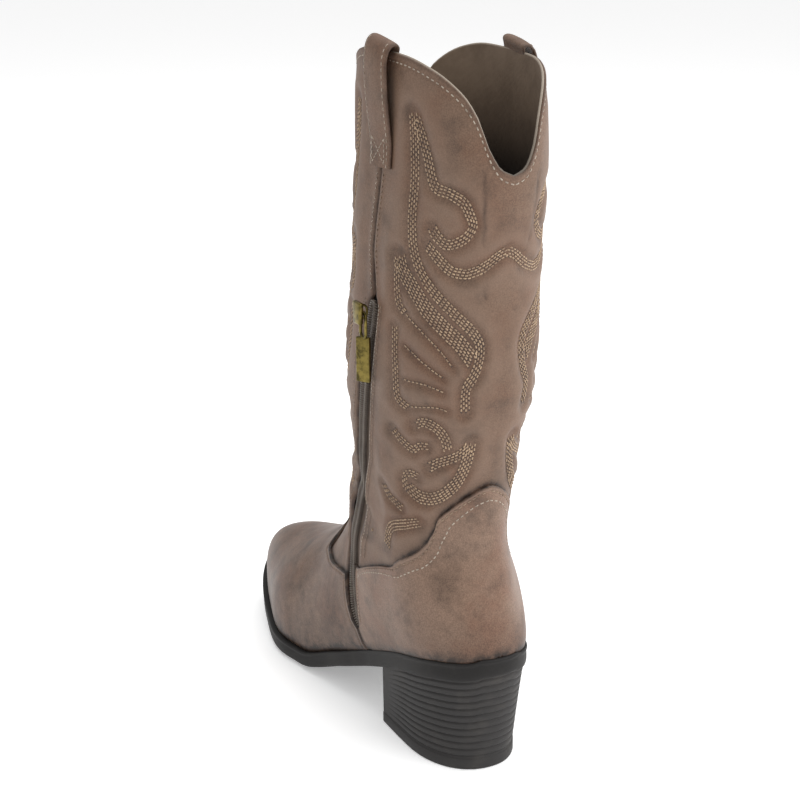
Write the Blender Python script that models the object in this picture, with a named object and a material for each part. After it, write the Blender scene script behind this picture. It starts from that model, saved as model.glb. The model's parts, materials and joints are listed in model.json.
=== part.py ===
"""Heeled western boot for the right foot, with a zip on the inside and a stacked heel.

Lengths are millimetres and become metres where a mesh is made. The boot is worked out in the
frame of its last: Y runs from the back of the heel seat (0) to the toe, Z rises from the floor,
and the inside of the foot is at -X. An empty then centres the boot over its origin.
"""

import math
from typing import NamedTuple

import bmesh
import bpy
import numpy as np
from mathutils import Matrix, Vector

MM = 0.001

# Driving dimensions of the last and the shaft
LAST_LENGTH = 254.0
BALL_WIDTH = 84.0
HEEL_WIDTH = 65.0
INSTEP_HEIGHT = 125.0
HEEL_SEAT = 65.0
COLLAR_TOP = 353.0
COLLAR_BACK = 51.5
COLLAR_FRONT = 46.0
COLLAR_OUTSIDE = 4.0

# Rounding of the toe in plan and in height
TOE_PLAN_RUN, TOE_PLAN_POWER = 90.0, 1.5
TOE_RISE_RUN, TOE_RISE_POWER = 55.0, 2.8

# Layers
GAP = 0.3
WALL = 2.2
OVERLAY = 1.2
INSOLE = 2.0
SOLE, SEAT_SOLE = 11.0, 9.6
SOLE_GAP = 0.45
LIFT = 6.0


class Section(NamedTuple):
    """One section of the boot, from its top or front line to its bottom or back line."""

    name: str
    top_y: float
    top_z: float
    low_y: float
    low_z: float
    medial: float
    lateral: float
    edge_medial: float
    edge_lateral: float
    widest: float
    top_power: float
    low_power: float
    back_run: float
    centre_x: float


TOE = LAST_LENGTH
RISE = INSTEP_HEIGHT
BALL = BALL_WIDTH / 2
SEAT = HEEL_WIDTH / 2

# Half widths, half widths at the foot of the wall, height of the widest point, then roundings
SECTIONS = (
    Section("toe_tip", TOE, 48, TOE, 25.5,
            0.92 * BALL, 0.96 * BALL, 0.90 * BALL, 0.94 * BALL, 0.30, 2.2, 2.2, 40, -7),
    Section("toe_box", TOE - 20, 53, TOE - 20, 20,
            0.92 * BALL, 0.96 * BALL, 0.90 * BALL, 0.94 * BALL, 0.30, 2.2, 2.2, 40, -6),
    Section("toe_back", TOE - 48, 58.5, TOE - 48, 13.6,
            0.94 * BALL, 0.98 * BALL, 0.91 * BALL, 0.95 * BALL, 0.28, 2.1, 2.2, 40, -4),
    Section("tread", TOE - 77, 68, TOE - 77, 11,
            BALL, 1.04 * BALL, 0.95 * BALL, 1.02 * BALL, 0.26, 1.9, 2.2, 40, -2),
    Section("ball", TOE - 101, 82, TOE - 103, 11.1,
            0.96 * BALL, 1.03 * BALL, 0.89 * BALL, 0.95 * BALL, 0.25, 1.8, 2.2, 40, 0),
    Section("waist", TOE - 120, 102, TOE - 135, 23,
            0.89 * BALL, 0.96 * BALL, 0.77 * BALL, 0.84 * BALL, 0.30, 1.7, 2.2, 40, 1),
    Section("arch", TOE - 129, RISE, TOE - 173, 39.5,
            1.07 * SEAT, 1.03 * SEAT, 0.90 * SEAT, 0.88 * SEAT, 0.35, 1.75, 2.2, 40, 1),
    Section("seat_front", 127, RISE + 22, 47, 53,
            1.08 * SEAT, 0.97 * SEAT, 0.88 * SEAT, 0.82 * SEAT, 0.40, 1.9, 2.2, 40, 0),
    Section("seat_middle", 125.5, RISE + 36, 20, 60.5,
            1.08 * SEAT, 0.94 * SEAT, 0.88 * SEAT, 0.81 * SEAT, 0.44, 2.0, 2.2, 40, 0),
    Section("seat_back", 124, RISE + 48, 0, HEEL_SEAT,
            1.09 * SEAT, 0.86 * SEAT, 0.90 * SEAT, 0.82 * SEAT, 0.47, 2.1, 2.2, 42, 0),
    Section("counter", 124, RISE + 57, 5.5, 88,
            1.12 * SEAT, 0.76 * SEAT, 1.06 * SEAT, 0.74 * SEAT, 0.48, 2.1, 2.2, 46, 0),
    Section("ankle_low", 124, 190, 14, 118, 37, 24.5, 37, 24.5, 0.49, 2.1, 2.2, 52, 0),
    Section("ankle", 123.5, 201, 13, 142, 38.5, 31.5, 38.5, 31.5, 0.50, 2.1, 2.1, 55, 0),
    Section("ankle_top", 122, 213, 9, 168, 39.5, 34.5, 39.5, 34.5, 0.50, 2.1, 2.1, 56, 0),
    Section("leg_low", 120, 228, 2, 204, 40, 38, 40, 38, 0.50, 2.1, 2.1, 56, 0.3),
    Section("leg_middle", 115, 260, 1, 254, 40, 40, 40, 40, 0.50, 2.1, 2.1, 58, 0.6),
    Section("leg_high", 116.5, 310, -7, 310, 36.5, 37, 36.5, 37, 0.50, 2.1, 2.1, 64, 0.7),
    Section("leg_top", 125, 380, -3.5, 380, 33, 37.5, 33, 37.5, 0.50, 2.1, 2.1, 66, 0.7),
)
STATION = {row.name: float(index) for index, row in enumerate(SECTIONS)}

# Collar's edge: girth from its dip at the back or the front in hundredths, share of the dip's depth
COLLAR_EDGE = ((0, 1.0), (5, 0.945), (10, 0.775), (15, 0.485), (20, 0.31), (30, 0.125), (40, 0.03), (50, 0.0))

# Top edge of the vamp: girth position, section station (5.0 is the waist, 8.0 the seat's middle)
VAMP_EDGE = (
    (0.00, 8.3), (0.06, 8.1), (0.11, 7.6), (0.15, 6.8), (0.18, 5.85), (0.202, 5.1), (0.224, 4.62),
    (0.25, 4.46), (0.28, 4.62), (0.315, 4.95), (0.35, 5.23), (0.39, 5.52), (0.435, 5.83), (0.50, 5.89),
    (1.00, 5.89),
)
COUNTER_FRONT = 5.92
COUNTER_GIRTH, COUNTER_TURN = 0.5, 0.76
HIGH = 170.0
FORM_REACH = 6.0
SEAT_RUN = 9.0

# Top edge of the heel counter: girth position, height
COUNTER_EDGE = (
    (0.50, 87.4), (0.55, 98.0), (0.585, 104.5), (0.65, 110.8), (0.715, 115.8), (0.77, 121.3), (0.80, 127.0),
    (0.815, 134.0), (0.86, 139.8), (0.91, 145.0), (0.96, 149.0), (0.99, 150.4), (1.00, 150.6),
)

# Zip on the inside, as seen from the side: height, distance from the heel's back, half width of the slit
ZIP_PATH = (
    (238.0, 54.5, 2.0), (234.0, 55.5, 4.2), (205.0, 63.0, 5.5), (170.0, 71.0, 7.0), (140.0, 80.0, 8.0),
    (115.0, 88.0, 8.5), (95.0, 93.0, 8.5), (75.0, 95.0, 7.0), (60.0, 93.5, 5.0), (52.0, 91.0, 3.2),
    (50.0, 90.5, 1.0),
)
INSIDE = (-70.0, -12.0)
SLIT_EASE = 0.6
COIL_HALF = 3.0
TAPE_DEPTH = (-2.0, -0.9)
COIL_DEPTH = (-0.6, 0.4)

# Slider and pull tab, about the bail
SLIDER_HEIGHT, SLIDER_GIRTH = 231.0, -0.515
SLIDER_SIZE = (8.0, 11.0, 2.4)
SLIDER_LIFT = 1.2
BAIL_WIDTH, BAIL_SPAN, BAIL_CLEAR, BAIL_BAR = 2.2, 5.0, 2.8, 1.3
PULL_BAR = 1.6
PULL_LOOP = (7.4, 13.0)
PULL_TAB = (7.4, 22.5, 2.2)
PULL_TWIST = 35.0

# Pull strap: height from the collar and distance from the upper's skin, for the strap's middle
STRAP_WIDTH, STRAP_FOOT_WIDTH, STRAP_THICK = 21.0, 19.0, 1.8
STRAP_PATH = (
    (-52.0, 1.3), (-43.0, 1.4), (-33.0, 2.7), (-22.0, 4.2), (-11.0, 4.9), (-3.0, 4.7), (1.8, 3.6),
    (4.4, 1.5), (4.9, -0.7), (3.8, -2.3), (1.9, -2.4),
)
STRAP_LEAN = 0.16
STRAP_GIRTH = 0.515


class EdgeRow(NamedTuple):
    """One ring of the sole's edge: depth below its top and reach beyond the feather line."""

    seat_depth: float
    seat_reach: float
    tread_depth: float
    tread_reach: float


SOLE_EDGE = (
    EdgeRow(0.0, 2.0, 0.0, 3.6),
    EdgeRow(1.2, 2.7, 1.2, 4.6),
    EdgeRow(7.2, 2.6, 7.2, 4.5),
    EdgeRow(8.8, 2.3, 8.8, 3.4),
    EdgeRow(SEAT_SOLE, 1.8, SOLE, -6.0),
)
TREAD_START, TREAD_END = 84.0, 118.0

# Heel block: breast, taper to its foot and ribs
HEEL_FRONT = 69.0
HEEL_FORWARD = 4.0
HEEL_TUCK = 8.0
HEEL_NARROW = 0.92
HEEL_HOLLOW = 3.0
HEEL_INSET = 0.4
RIBS = 11
RIB_START = 0.03
RIB_GROOVE = 0.7
RIB_LAND = 0.62

# Mesh counts
GIRTH_STEPS, VAMP_STEPS, COUNTER_STEPS = 24, 48, 16
STEPS_TOE, STEPS_FOOT, STEPS_SEAT, STEPS_ANKLE, STEPS_SHAFT = 7, 10, 6, 6, 8


def slopes(values):
    """Return the slope of each column at each row, flat where a column turns."""
    steps = np.diff(values, axis=0)
    before, after = steps[:-1], steps[1:]
    same = before * after > 0
    total = np.where(same, before + after, 1.0)
    middle = np.where(same, 2 * before * after / total, 0.0)
    return np.vstack([steps[:1], middle, steps[-1:]])


SECTION_VALUES = np.array([row[1:] for row in SECTIONS], float)
SECTION_SLOPES = slopes(SECTION_VALUES)


def section_at(station):
    """Return the section's columns at a station between the table's rows."""
    row = np.clip(np.floor(station).astype(int), 0, len(SECTIONS) - 2)
    far = (station - row)[..., None]
    near = 1 - far
    first = SECTION_VALUES[row] * (1 + 2 * far) + SECTION_SLOPES[row] * far
    last = SECTION_VALUES[row + 1] * (1 + 2 * near) - SECTION_SLOPES[row + 1] * near
    return np.moveaxis(first * near * near + last * far * far, -1, 0)


def end_round(distance, run, power):
    """Return a factor that is 0 at an end of the last and 1 from run millimetres inside it."""
    inside = np.clip(1 - distance / run, 0, 1)
    return (1 - inside ** power) ** (1 / power)


def bottom_line(first, last, steps):
    """Return the distances and heights of the sections' bottom or back points between two stations."""
    columns = section_at(np.linspace(first, last, steps + 1))
    return columns[2], columns[3]


BACK_Y, BACK_Z = bottom_line(STATION["seat_back"], len(SECTIONS) - 1, 240)
SEAT_Y, SEAT_Z = bottom_line(STATION["seat_back"], 0, 120)


def form_point(station, girth):
    """Return points of the upper's outer skin.

    The girth position is 0 on the front line, 0.5 at the widest point of a side and 1 at the
    feather line or the back line, and it is negative on the inside of the foot.
    """
    station, girth = np.broadcast_arrays(np.asarray(station, float), np.asarray(girth, float))
    (top_y, top_z, low_y, low_z, medial, lateral, edge_medial, edge_lateral, widest,
     top_power, low_power, back_run, centre_x) = section_at(station)
    plan = end_round(LAST_LENGTH - top_y, TOE_PLAN_RUN, TOE_PLAN_POWER)
    rise = end_round(LAST_LENGTH - top_y, TOE_RISE_RUN, TOE_RISE_POWER)
    inside = girth < 0
    half = np.where(inside, medial, lateral) * plan
    edge = np.where(inside, edge_medial, edge_lateral) * plan
    across = np.abs(girth)
    above = (1 - np.clip(across / 0.5, 0, 1)) * math.pi / 2
    turn = np.clip((across - 0.5) / 0.5, 0, 1)
    drop = np.sin(turn * math.pi / 2) ** (2 / low_power)
    rounded = widest + (1 - widest) * np.sin(above) ** (2 / top_power)
    level = np.where(across <= 0.5, rounded, widest * (1 - drop))
    y = low_y + (top_y - low_y) * level
    z = low_z + (top_z - low_z) * rise * level
    wall = edge + (half - edge) * np.sqrt(np.clip(1 - drop * drop, 0, 1))
    behind = end_round(np.maximum(y - np.interp(z, BACK_Z, BACK_Y), 0), back_run, low_power)
    x = np.where(across <= 0.5, half * np.cos(above) ** (2 / top_power), wall * behind)
    return np.stack([np.where(inside, -x, x) + centre_x, y, z], -1)


def station_at_height(girth, height):
    """Return the station at which each girth position reaches a height, behind the ball."""
    stations = np.linspace(STATION["ball"], len(SECTIONS) - 1, 160)
    girth = np.atleast_1d(np.asarray(girth, float))
    height = np.broadcast_to(height, girth.shape)
    levels = form_point(stations[None, :], girth[:, None])[..., 2]
    return np.array([np.interp(h, row, stations) for h, row in zip(height, levels)])


def collar_height(girth):
    """Return the height of the scalloped collar, highest at the sides and dipped front and back."""
    across = np.abs(np.asarray(girth, float))
    table = np.array(COLLAR_EDGE)
    bends = slopes(table)
    from_dip = 100 * np.where(across > 0.5, 1 - across, across)
    row = np.clip(np.searchsorted(table[:, 0], from_dip, side="right") - 1, 0, len(table) - 2)
    run = table[row + 1, 0] - table[row, 0]
    far = (from_dip - table[row, 0]) / run
    near = 1 - far
    slope = [bends[row + step, 1] / np.maximum(bends[row + step, 0], 1e-6) * run for step in (0, 1)]
    first = table[row, 1] * (1 + 2 * far) + slope[0] * far
    last = table[row + 1, 1] * (1 + 2 * near) - slope[1] * near
    fall = first * near * near + last * far * far
    lower = COLLAR_OUTSIDE * np.exp(-np.square((np.asarray(girth, float) - 0.53) / 0.16))
    return COLLAR_TOP - lower - fall * np.where(across > 0.5, COLLAR_BACK, COLLAR_FRONT)


def seat_height(y):
    """Return the height of the last's bottom at a distance, carried straight on past the toe."""
    y = np.asarray(y, float)
    toe_slope = (SEAT_Z[-1] - SEAT_Z[-4]) / (SEAT_Y[-1] - SEAT_Y[-4])
    past_toe = np.maximum(y - SEAT_Y[-1], 0) * toe_slope
    return np.interp(y, SEAT_Y, SEAT_Z) + past_toe


def eased(low, high, steps, ease):
    """Return steps from low to high, closer together at the low or the high end."""
    part = np.linspace(0, 1, steps + 1)
    if ease == "low":
        part = part ** 2
    elif ease == "high":
        part = np.sin(part * math.pi / 2)
    return np.asarray(low) + (np.asarray(high) - np.asarray(low)) * part[:, None]


class Skin:
    """A grid of points on the upper's outer form, with a normal at each.

    Row 0 may be the single point of the toe. From the welded row on, the first and last columns
    are one line, the back of the boot.
    """

    def __init__(self, stations, girths, welded, has_tip):
        self.stations = stations
        self.girths = girths
        self.welded = welded
        self.has_tip = has_tip
        self.points = form_point(stations, girths[None, :])
        self.rows, self.columns = stations.shape
        self.normals = self.find_normals()

    def key(self, row, column):
        """Return the grid key that stands for a point."""
        if self.has_tip and row == 0:
            return (0, 0)
        if column == self.columns - 1 and row >= self.welded:
            return (row, 0)
        return (row, column)

    def cells(self):
        """Return the keys around each cell, as seen from outside."""
        for row in range(self.rows - 1):
            for column in range(self.columns - 1):
                corners = ((row, column), (row + 1, column), (row + 1, column + 1), (row, column + 1))
                yield list(dict.fromkeys(self.key(*corner) for corner in corners))

    def find_normals(self):
        """Return outward normals, laid in the sole's plane along the feather line."""
        total = {}
        for cell in self.cells():
            corners = [self.points[key] for key in cell]
            area = np.zeros(3)
            for first, second in zip(corners[1:-1], corners[2:]):
                area += np.cross(first - corners[0], second - corners[0])
            for key in cell:
                total[key] = total.get(key, np.zeros(3)) + area
        normals = {}
        for key, value in total.items():
            row, column = key
            on_edge = row < self.welded and abs(self.girths[column]) == 1
            if on_edge or (self.has_tip and row == 0):
                y = self.points[key][1]
                up = np.array([0, seat_height(y - SEAT_RUN) - seat_height(y + SEAT_RUN), 2 * SEAT_RUN])
                up /= np.linalg.norm(up)
                value = value - up * value.dot(up)
            normals[key] = value / np.linalg.norm(value)
        return normals

    def shell(self, inner, outer, skirt=0.0):
        """Return a closed mesh between two distances from the skin.

        Args:
            inner: distance of the inner face, outwards from the skin.
            outer: distance of the outer face.
            skirt: how far the feather line is lowered, for a form that cuts another.

        Returns:
            A bmesh in millimetres.
        """
        mesh = bmesh.new()
        verts = ({}, {})
        for side, distance in enumerate((inner, outer)):
            for key, normal in self.normals.items():
                place = self.points[key] + normal * distance
                row, column = key
                if row < self.welded and abs(self.girths[column]) == 1:
                    place = place - np.array([0, 0, skirt])
                verts[side][key] = mesh.verts.new(place)
        edges = set()
        for cell in self.cells():
            for second, third in zip(cell[1:-1], cell[2:]):
                for side, corners in ((0, (third, second, cell[0])), (1, (cell[0], second, third))):
                    mesh.faces.new([verts[side][key] for key in corners])
            edges.update(zip(cell, cell[1:] + cell[:1]))
        for first, second in edges:
            if (second, first) not in edges:
                mesh.faces.new((verts[1][second], verts[1][first], verts[0][first], verts[0][second]))
        return mesh


def boot_skin():
    """Return the grid of the whole upper, from the toe to the collar."""
    girths = np.linspace(-1, 1, GIRTH_STEPS + 1)
    same = np.ones_like(girths)
    seat_start = STATION["seat_middle"]
    back = STATION["seat_back"]
    leg = STATION["leg_low"]
    collar = station_at_height(girths, collar_height(girths))
    parts = [
        eased(0 * same, STATION["tread"] * same, STEPS_TOE, "low"),
        eased(STATION["tread"] * same, seat_start * same, STEPS_FOOT, "even")[1:],
        eased(seat_start * same, back * same, STEPS_SEAT, "high")[1:],
        eased(back * same, leg * same, STEPS_ANKLE, "even")[1:],
        eased(leg * same, collar, STEPS_SHAFT, "even")[1:],
    ]
    return Skin(np.vstack(parts), girths, STEPS_TOE + STEPS_FOOT + STEPS_SEAT, has_tip=True)


def vamp_skin():
    """Return the grid under the vamp's top edge, as wide as the upper."""
    girths = np.linspace(-1, 1, VAMP_STEPS + 1)
    table = np.array(VAMP_EDGE)
    edge = np.interp(np.abs(girths), table[:, 0], table[:, 1])
    stations = eased(0 * girths, edge, 2 * STEPS_TOE, "low")
    return Skin(stations, girths, len(stations), has_tip=True)


def counter_edge(side, low, high, steps):
    """Return points of the counter's top edge on the middle of its leather, on one side of the boot."""
    table = np.array(COUNTER_EDGE)
    line = []
    for across in np.linspace(low, high, steps + 1):
        height = np.interp(across, table[:, 0], table[:, 1])
        spot, normal, _along, _up = skin_frame(side * across, height)
        line.append(spot + normal * (GAP + OVERLAY / 2))
    return np.array(line)


def counter_outline():
    """Return the counter's outline from the side: up its front, along its top edge and past the heel."""
    top = counter_edge(-1, COUNTER_GIRTH, COUNTER_TURN, COUNTER_STEPS)[:, 1:]
    front = form_point(COUNTER_FRONT, np.array([-1.0, -0.8, -0.6]))[:, 1:]
    under = front[0, 1] - FORM_REACH
    past = np.array([(top[-1, 0], HIGH), (-HIGH, HIGH), (-HIGH, under), (front[0, 0], under)])
    return np.concatenate([front, top, past])


def counter_peak():
    """Return the outline, from behind, of all that lies above the counter's top edge."""
    outside = counter_edge(1, COUNTER_TURN, 0.999, COUNTER_STEPS)[:, ::2]
    inside = counter_edge(-1, COUNTER_TURN, 0.999, COUNTER_STEPS)[::-1, ::2]
    level = outside[0, 1]
    past = np.array([(-HIGH, level), (-HIGH, HIGH), (HIGH, HIGH), (HIGH, level)])
    return np.concatenate([outside, inside, past])


def smooth_line(points, steps):
    """Return a smooth line through points, with steps to each span."""
    points = np.asarray(points, float)
    bends = slopes(points)
    line = []
    for index in range(len(points) - 1):
        for far in np.arange(steps) / steps:
            near = 1 - far
            first = points[index] * (1 + 2 * far) + bends[index] * far
            last = points[index + 1] * (1 + 2 * near) - bends[index + 1] * near
            line.append(first * near * near + last * far * far)
    line.append(points[-1])
    return np.array(line)


def zip_outline(ease, half=None):
    """Return the slit's outline from the side, narrowed by ease or kept to a half width."""
    path = smooth_line(ZIP_PATH, 2)
    path[0, 0] -= ease
    path[-1, 0] += ease
    widths = path[:, 2] - ease
    if half is not None:
        widths = np.minimum(widths - GAP, half)
    front = np.column_stack([path[:, 1] + widths, path[:, 0]])
    back = np.column_stack([path[:, 1] - widths, path[:, 0]])
    return np.concatenate([front, back[::-1]])


def beside_zip(toward):
    """Return the outline of all that lies in front of the slit (1) or behind it (-1), with the slit."""
    path = smooth_line(ZIP_PATH, 2)
    edge = np.column_stack([path[:, 1] - toward * (path[:, 2] + SLIT_EASE), path[:, 0]])
    far = path[:, 1].mean() + toward * LAST_LENGTH
    return np.concatenate([edge, [(far, edge[-1, 1]), (far, edge[0, 1])]])


def prism(outline, low, high, from_behind=False):
    """Return a closed mesh: an outline seen from the side drawn out along X, or from behind along Y."""
    mesh = bmesh.new()
    places = [(a, low, b) if from_behind else (low, a, b) for a, b in outline]
    face = mesh.faces.new([mesh.verts.new(place) for place in places])
    drawn = bmesh.ops.extrude_face_region(mesh, geom=[face])
    moved = [item for item in drawn["geom"] if isinstance(item, bmesh.types.BMVert)]
    bmesh.ops.translate(mesh, verts=moved, vec=(0, high - low, 0) if from_behind else (high - low, 0, 0))
    bmesh.ops.recalc_face_normals(mesh, faces=mesh.faces)
    return mesh


def ring_stack(rings):
    """Return a closed mesh through rings of points, each opened at its first and middle points."""
    mesh = bmesh.new()
    levels = [[mesh.verts.new(place) for place in ring] for ring in rings]
    count = len(levels[0])
    for above, below in zip(levels[:-1], levels[1:]):
        for index in range(count):
            after = (index + 1) % count
            mesh.faces.new((above[index], above[after], below[after], below[index]))
    for cap in (levels[0], levels[-1]):
        for index in range(count // 2):
            corners = (index, index + 1, count - index - 1, count - index)
            used = list(dict.fromkeys(corner % count for corner in corners))
            mesh.faces.new([cap[corner] for corner in used])
    bmesh.ops.recalc_face_normals(mesh, faces=mesh.faces)
    return mesh


def feather_loop(skin):
    """Return the feather line: the toe, the inside to the heel's back, and the outside to the toe."""
    inside = skin.points[: skin.welded + 1, 0]
    outside = skin.points[: skin.welded + 1, -1]
    return np.concatenate([inside, outside[1:-1][::-1]])


def grown(loop, distance):
    """Return a loop in plan moved outwards by a distance."""
    along = np.roll(loop, -1, axis=0) - np.roll(loop, 1, axis=0)
    outward = np.column_stack([along[:, 1], -along[:, 0]])
    outward /= np.linalg.norm(outward, axis=1)[:, None]
    if np.sum((loop[:, :2] - loop[:, :2].mean(axis=0)) * outward) < 0:
        outward = -outward
    return loop[:, :2] + outward * distance


def sole_ring(loop, edge):
    """Return a ring of the sole's edge, kept above the floor."""
    part = np.clip((loop[:, 1] - TREAD_START) / (TREAD_END - TREAD_START), 0, 1)
    part = part * part * (3 - 2 * part)
    depth = edge.seat_depth + (edge.tread_depth - edge.seat_depth) * part
    reach = edge.seat_reach + (edge.tread_reach - edge.seat_reach) * part
    plan = grown(loop, reach[:, None])
    height = np.maximum(seat_height(plan[:, 1]) - SOLE_GAP - depth, 0)
    return np.column_stack([plan, height])


def insole_rings(loop):
    """Return the lower and upper rings of the insole, inside the upper's wall."""
    plan = grown(loop, -(WALL + 1.2))
    height = seat_height(plan[:, 1])
    return [np.column_stack([plan, height + rise]) for rise in (0.0, INSOLE)]


def horseshoe(ring, front, steps):
    """Return the back of a sole ring, from its inside front corner round to its outside one."""
    half = len(ring) // 2
    sides = []
    for side in (ring[: half + 1], np.concatenate([ring[half:], ring[:1]])[::-1]):
        start = np.interp(-front, -side[:, 1], np.arange(len(side)))
        first = int(math.ceil(start))
        corner = [np.interp(start, np.arange(len(side)), side[:, axis]) for axis in range(3)]
        line = np.vstack([corner, side[first:]])
        length = np.concatenate([[0], np.cumsum(np.linalg.norm(np.diff(line, axis=0), axis=1))])
        spots = np.linspace(0, length[-1], steps + 1)
        sides.append(np.column_stack([np.interp(spots, length, line[:, axis]) for axis in range(3)]))
    return np.concatenate([sides[0], sides[1][:-1][::-1]])


def heel_rings(loop):
    """Return the heel block's rings from the sole down to the top lift, ribbed round the back."""
    steps = 11
    under = SOLE_EDGE[-1]._replace(seat_reach=SOLE_EDGE[-1].seat_reach - HEEL_INSET)
    top = horseshoe(sole_ring(loop, under), HEEL_FRONT, steps)
    top[:, 2] -= GAP
    inside, outside = top[0], top[-1]
    breast = []
    for part in (0.25, 0.5, 0.75):
        hollow = HEEL_HOLLOW * math.sin(part * math.pi)
        breast.append(outside + (inside - outside) * part - np.array([0, hollow, 0]))
    ring = np.concatenate([[breast[1], breast[2]], top, [breast[0]]])
    corners = np.minimum(np.arange(len(ring)), len(ring) - np.arange(len(ring)))
    rib_fade = np.clip((corners - 2) / 2.5, 0, 1)
    back, front = ring[:, 1].min(), ring[:, 1].max()
    forward = (ring[:, 1] - back) / (front - back)
    centre = ring[:, 0].mean()
    levels = []
    for level, groove in heel_levels():
        sweep = level ** 0.8
        shape = ring.copy()
        shape[:, 0] = centre + (ring[:, 0] - centre) * (1 - (1 - HEEL_NARROW) * level)
        shape[:, 1] = ring[:, 1] + HEEL_TUCK * sweep * (1 - forward) + HEEL_FORWARD * level * forward
        shape[:, 2] = ring[:, 2] * (1 - level) + (LIFT + GAP) * level
        cut = grown(shape, -groove)
        shape[:, :2] += (cut - shape[:, :2]) * rib_fade[:, None]
        levels.append(shape)
    return levels


def heel_levels():
    """Return the heel block's levels, 0 at the sole and 1 at the lift, with the groove's depth at each."""
    pitch = (1 - 2 * RIB_START) / RIBS
    levels = [(0.0, 0.0)]
    for rib in range(RIBS):
        low = RIB_START + rib * pitch
        levels.append((low, RIB_GROOVE))
        levels.append((low + RIB_LAND * pitch, 0.0))
    levels.append((1 - RIB_START, RIB_GROOVE))
    levels.append((1.0, 0.0))
    return levels


def lift_rings(heel_foot):
    """Return the top lift's rings, flat on the floor."""
    rings = []
    for height, reach in ((LIFT, 0.3), (0.8, 0.3), (0.0, -0.5)):
        plan = grown(heel_foot, reach)
        rings.append(np.column_stack([plan, np.full(len(plan), height)]))
    return rings


def skin_frame(girth, height):
    """Return a point of the skin at a height, with its normal, its level tangent and its upward tangent."""
    station = station_at_height([girth], height)[0]
    above = station_at_height([girth], height + 2)[0]
    spot = form_point(station, girth)
    level = np.array([0.0, 0.0, 1.0])
    up = form_point(above, girth) - spot
    up /= np.linalg.norm(up)
    beside = form_point(station_at_height([girth + 0.02], height)[0], girth + 0.02) - spot
    normal = np.cross(up, beside) if girth > 0 else np.cross(beside, up)
    normal *= np.sign(normal[0] * girth)
    normal /= np.linalg.norm(normal)
    along = np.cross(level, normal)
    along /= np.linalg.norm(along)
    return spot, normal, along, np.cross(normal, along)


def strap_mesh(side):
    """Return a pull strap: a flat loop from the outside of the shaft up and over to the collar's edge."""
    path = smooth_line(STRAP_PATH, 2)
    collar = collar_height(side * STRAP_GIRTH)
    steps_across = 2
    mesh = bmesh.new()
    faces = []
    for place, (rise, distance) in enumerate(path):
        before, after = path[max(place - 1, 0)], path[min(place + 1, len(path) - 1)]
        climb, out = after - before
        length = math.hypot(climb, out)
        part = min(1.0, (rise - path[0][0]) / 40.0) if distance > 0 else 1.0
        width = STRAP_FOOT_WIDTH + (STRAP_WIDTH - STRAP_FOOT_WIDTH) * part
        row = ([], [])
        lean = STRAP_LEAN * min(1.0, max(0.0, 1 + rise / 14.0))
        spot, normal, along, up = skin_frame(side * STRAP_GIRTH, collar + rise)
        for across in np.linspace(-0.5, 0.5, steps_across + 1):
            near = skin_at(side, collar + rise + lean * across * width, spot[1] + across * width)
            middle = near + normal * distance
            through = (normal * climb - up * out) / length
            for face, sign in enumerate((0.5, -0.5)):
                row[face].append(mesh.verts.new(middle + through * sign * STRAP_THICK))
        faces.append(row)
    for first, second in zip(faces[:-1], faces[1:]):
        for face in (0, 1):
            for index in range(steps_across):
                mesh.faces.new((first[face][index], first[face][index + 1],
                                second[face][index + 1], second[face][index]))
        for index in (0, steps_across):
            mesh.faces.new((first[0][index], second[0][index], second[1][index], first[1][index]))
    for row in (faces[0], faces[-1]):
        for index in range(steps_across):
            mesh.faces.new((row[0][index], row[0][index + 1], row[1][index + 1], row[1][index]))
    bmesh.ops.recalc_face_normals(mesh, faces=mesh.faces)
    return mesh


def skin_at(side, height, y):
    """Return the point of one side of the skin at a height and a distance from the heel."""
    girths = side * np.linspace(0.3, 0.7, 41)
    line = form_point(station_at_height(girths, height), girths)
    order = np.argsort(line[:, 1])
    return np.array([np.interp(y, line[order, 1], line[order, axis]) for axis in range(3)])


def block(mesh, size, centre):
    """Add a box to a mesh and return its corners."""
    made = bmesh.ops.create_cube(mesh, size=1.0)["verts"]
    bmesh.ops.scale(mesh, vec=size, verts=made)
    bmesh.ops.translate(mesh, vec=centre, verts=made)
    return made


def arch_mesh(outline, width):
    """Return an outline in the YZ plane as a plate of a width, centred on X."""
    return prism(outline, -width / 2, width / 2)


def slider_mesh():
    """Return the slider about its bail: X along the hinge, Y out of the skin, Z up."""
    width, length, thick = SLIDER_SIZE
    face = -BAIL_CLEAR / 2
    mesh = bmesh.new()
    block(mesh, (width, thick, length), (0, face - thick / 2, 0))
    bmesh.ops.bevel(mesh, geom=mesh.edges[:], offset=0.7, segments=2, affect="EDGES", profile=0.5)
    return mesh


def bail_mesh():
    """Return the slider's bail, an arch whose feet sink into the slider."""
    half, inner = BAIL_SPAN / 2 + BAIL_BAR, BAIL_SPAN / 2
    foot, clear, crown = -BAIL_CLEAR / 2 - 0.8, BAIL_CLEAR / 2, BAIL_CLEAR / 2 + BAIL_BAR
    outline = [(foot, -half), (clear - 0.6, -half), (crown, -half + 1.6), (crown, half - 1.6),
               (clear - 0.6, half), (foot, half), (foot, inner), (clear - 0.8, inner),
               (clear, inner - 0.8), (clear, -inner + 0.8), (clear - 0.8, -inner), (foot, -inner)]
    return arch_mesh(outline, BAIL_WIDTH)


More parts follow.
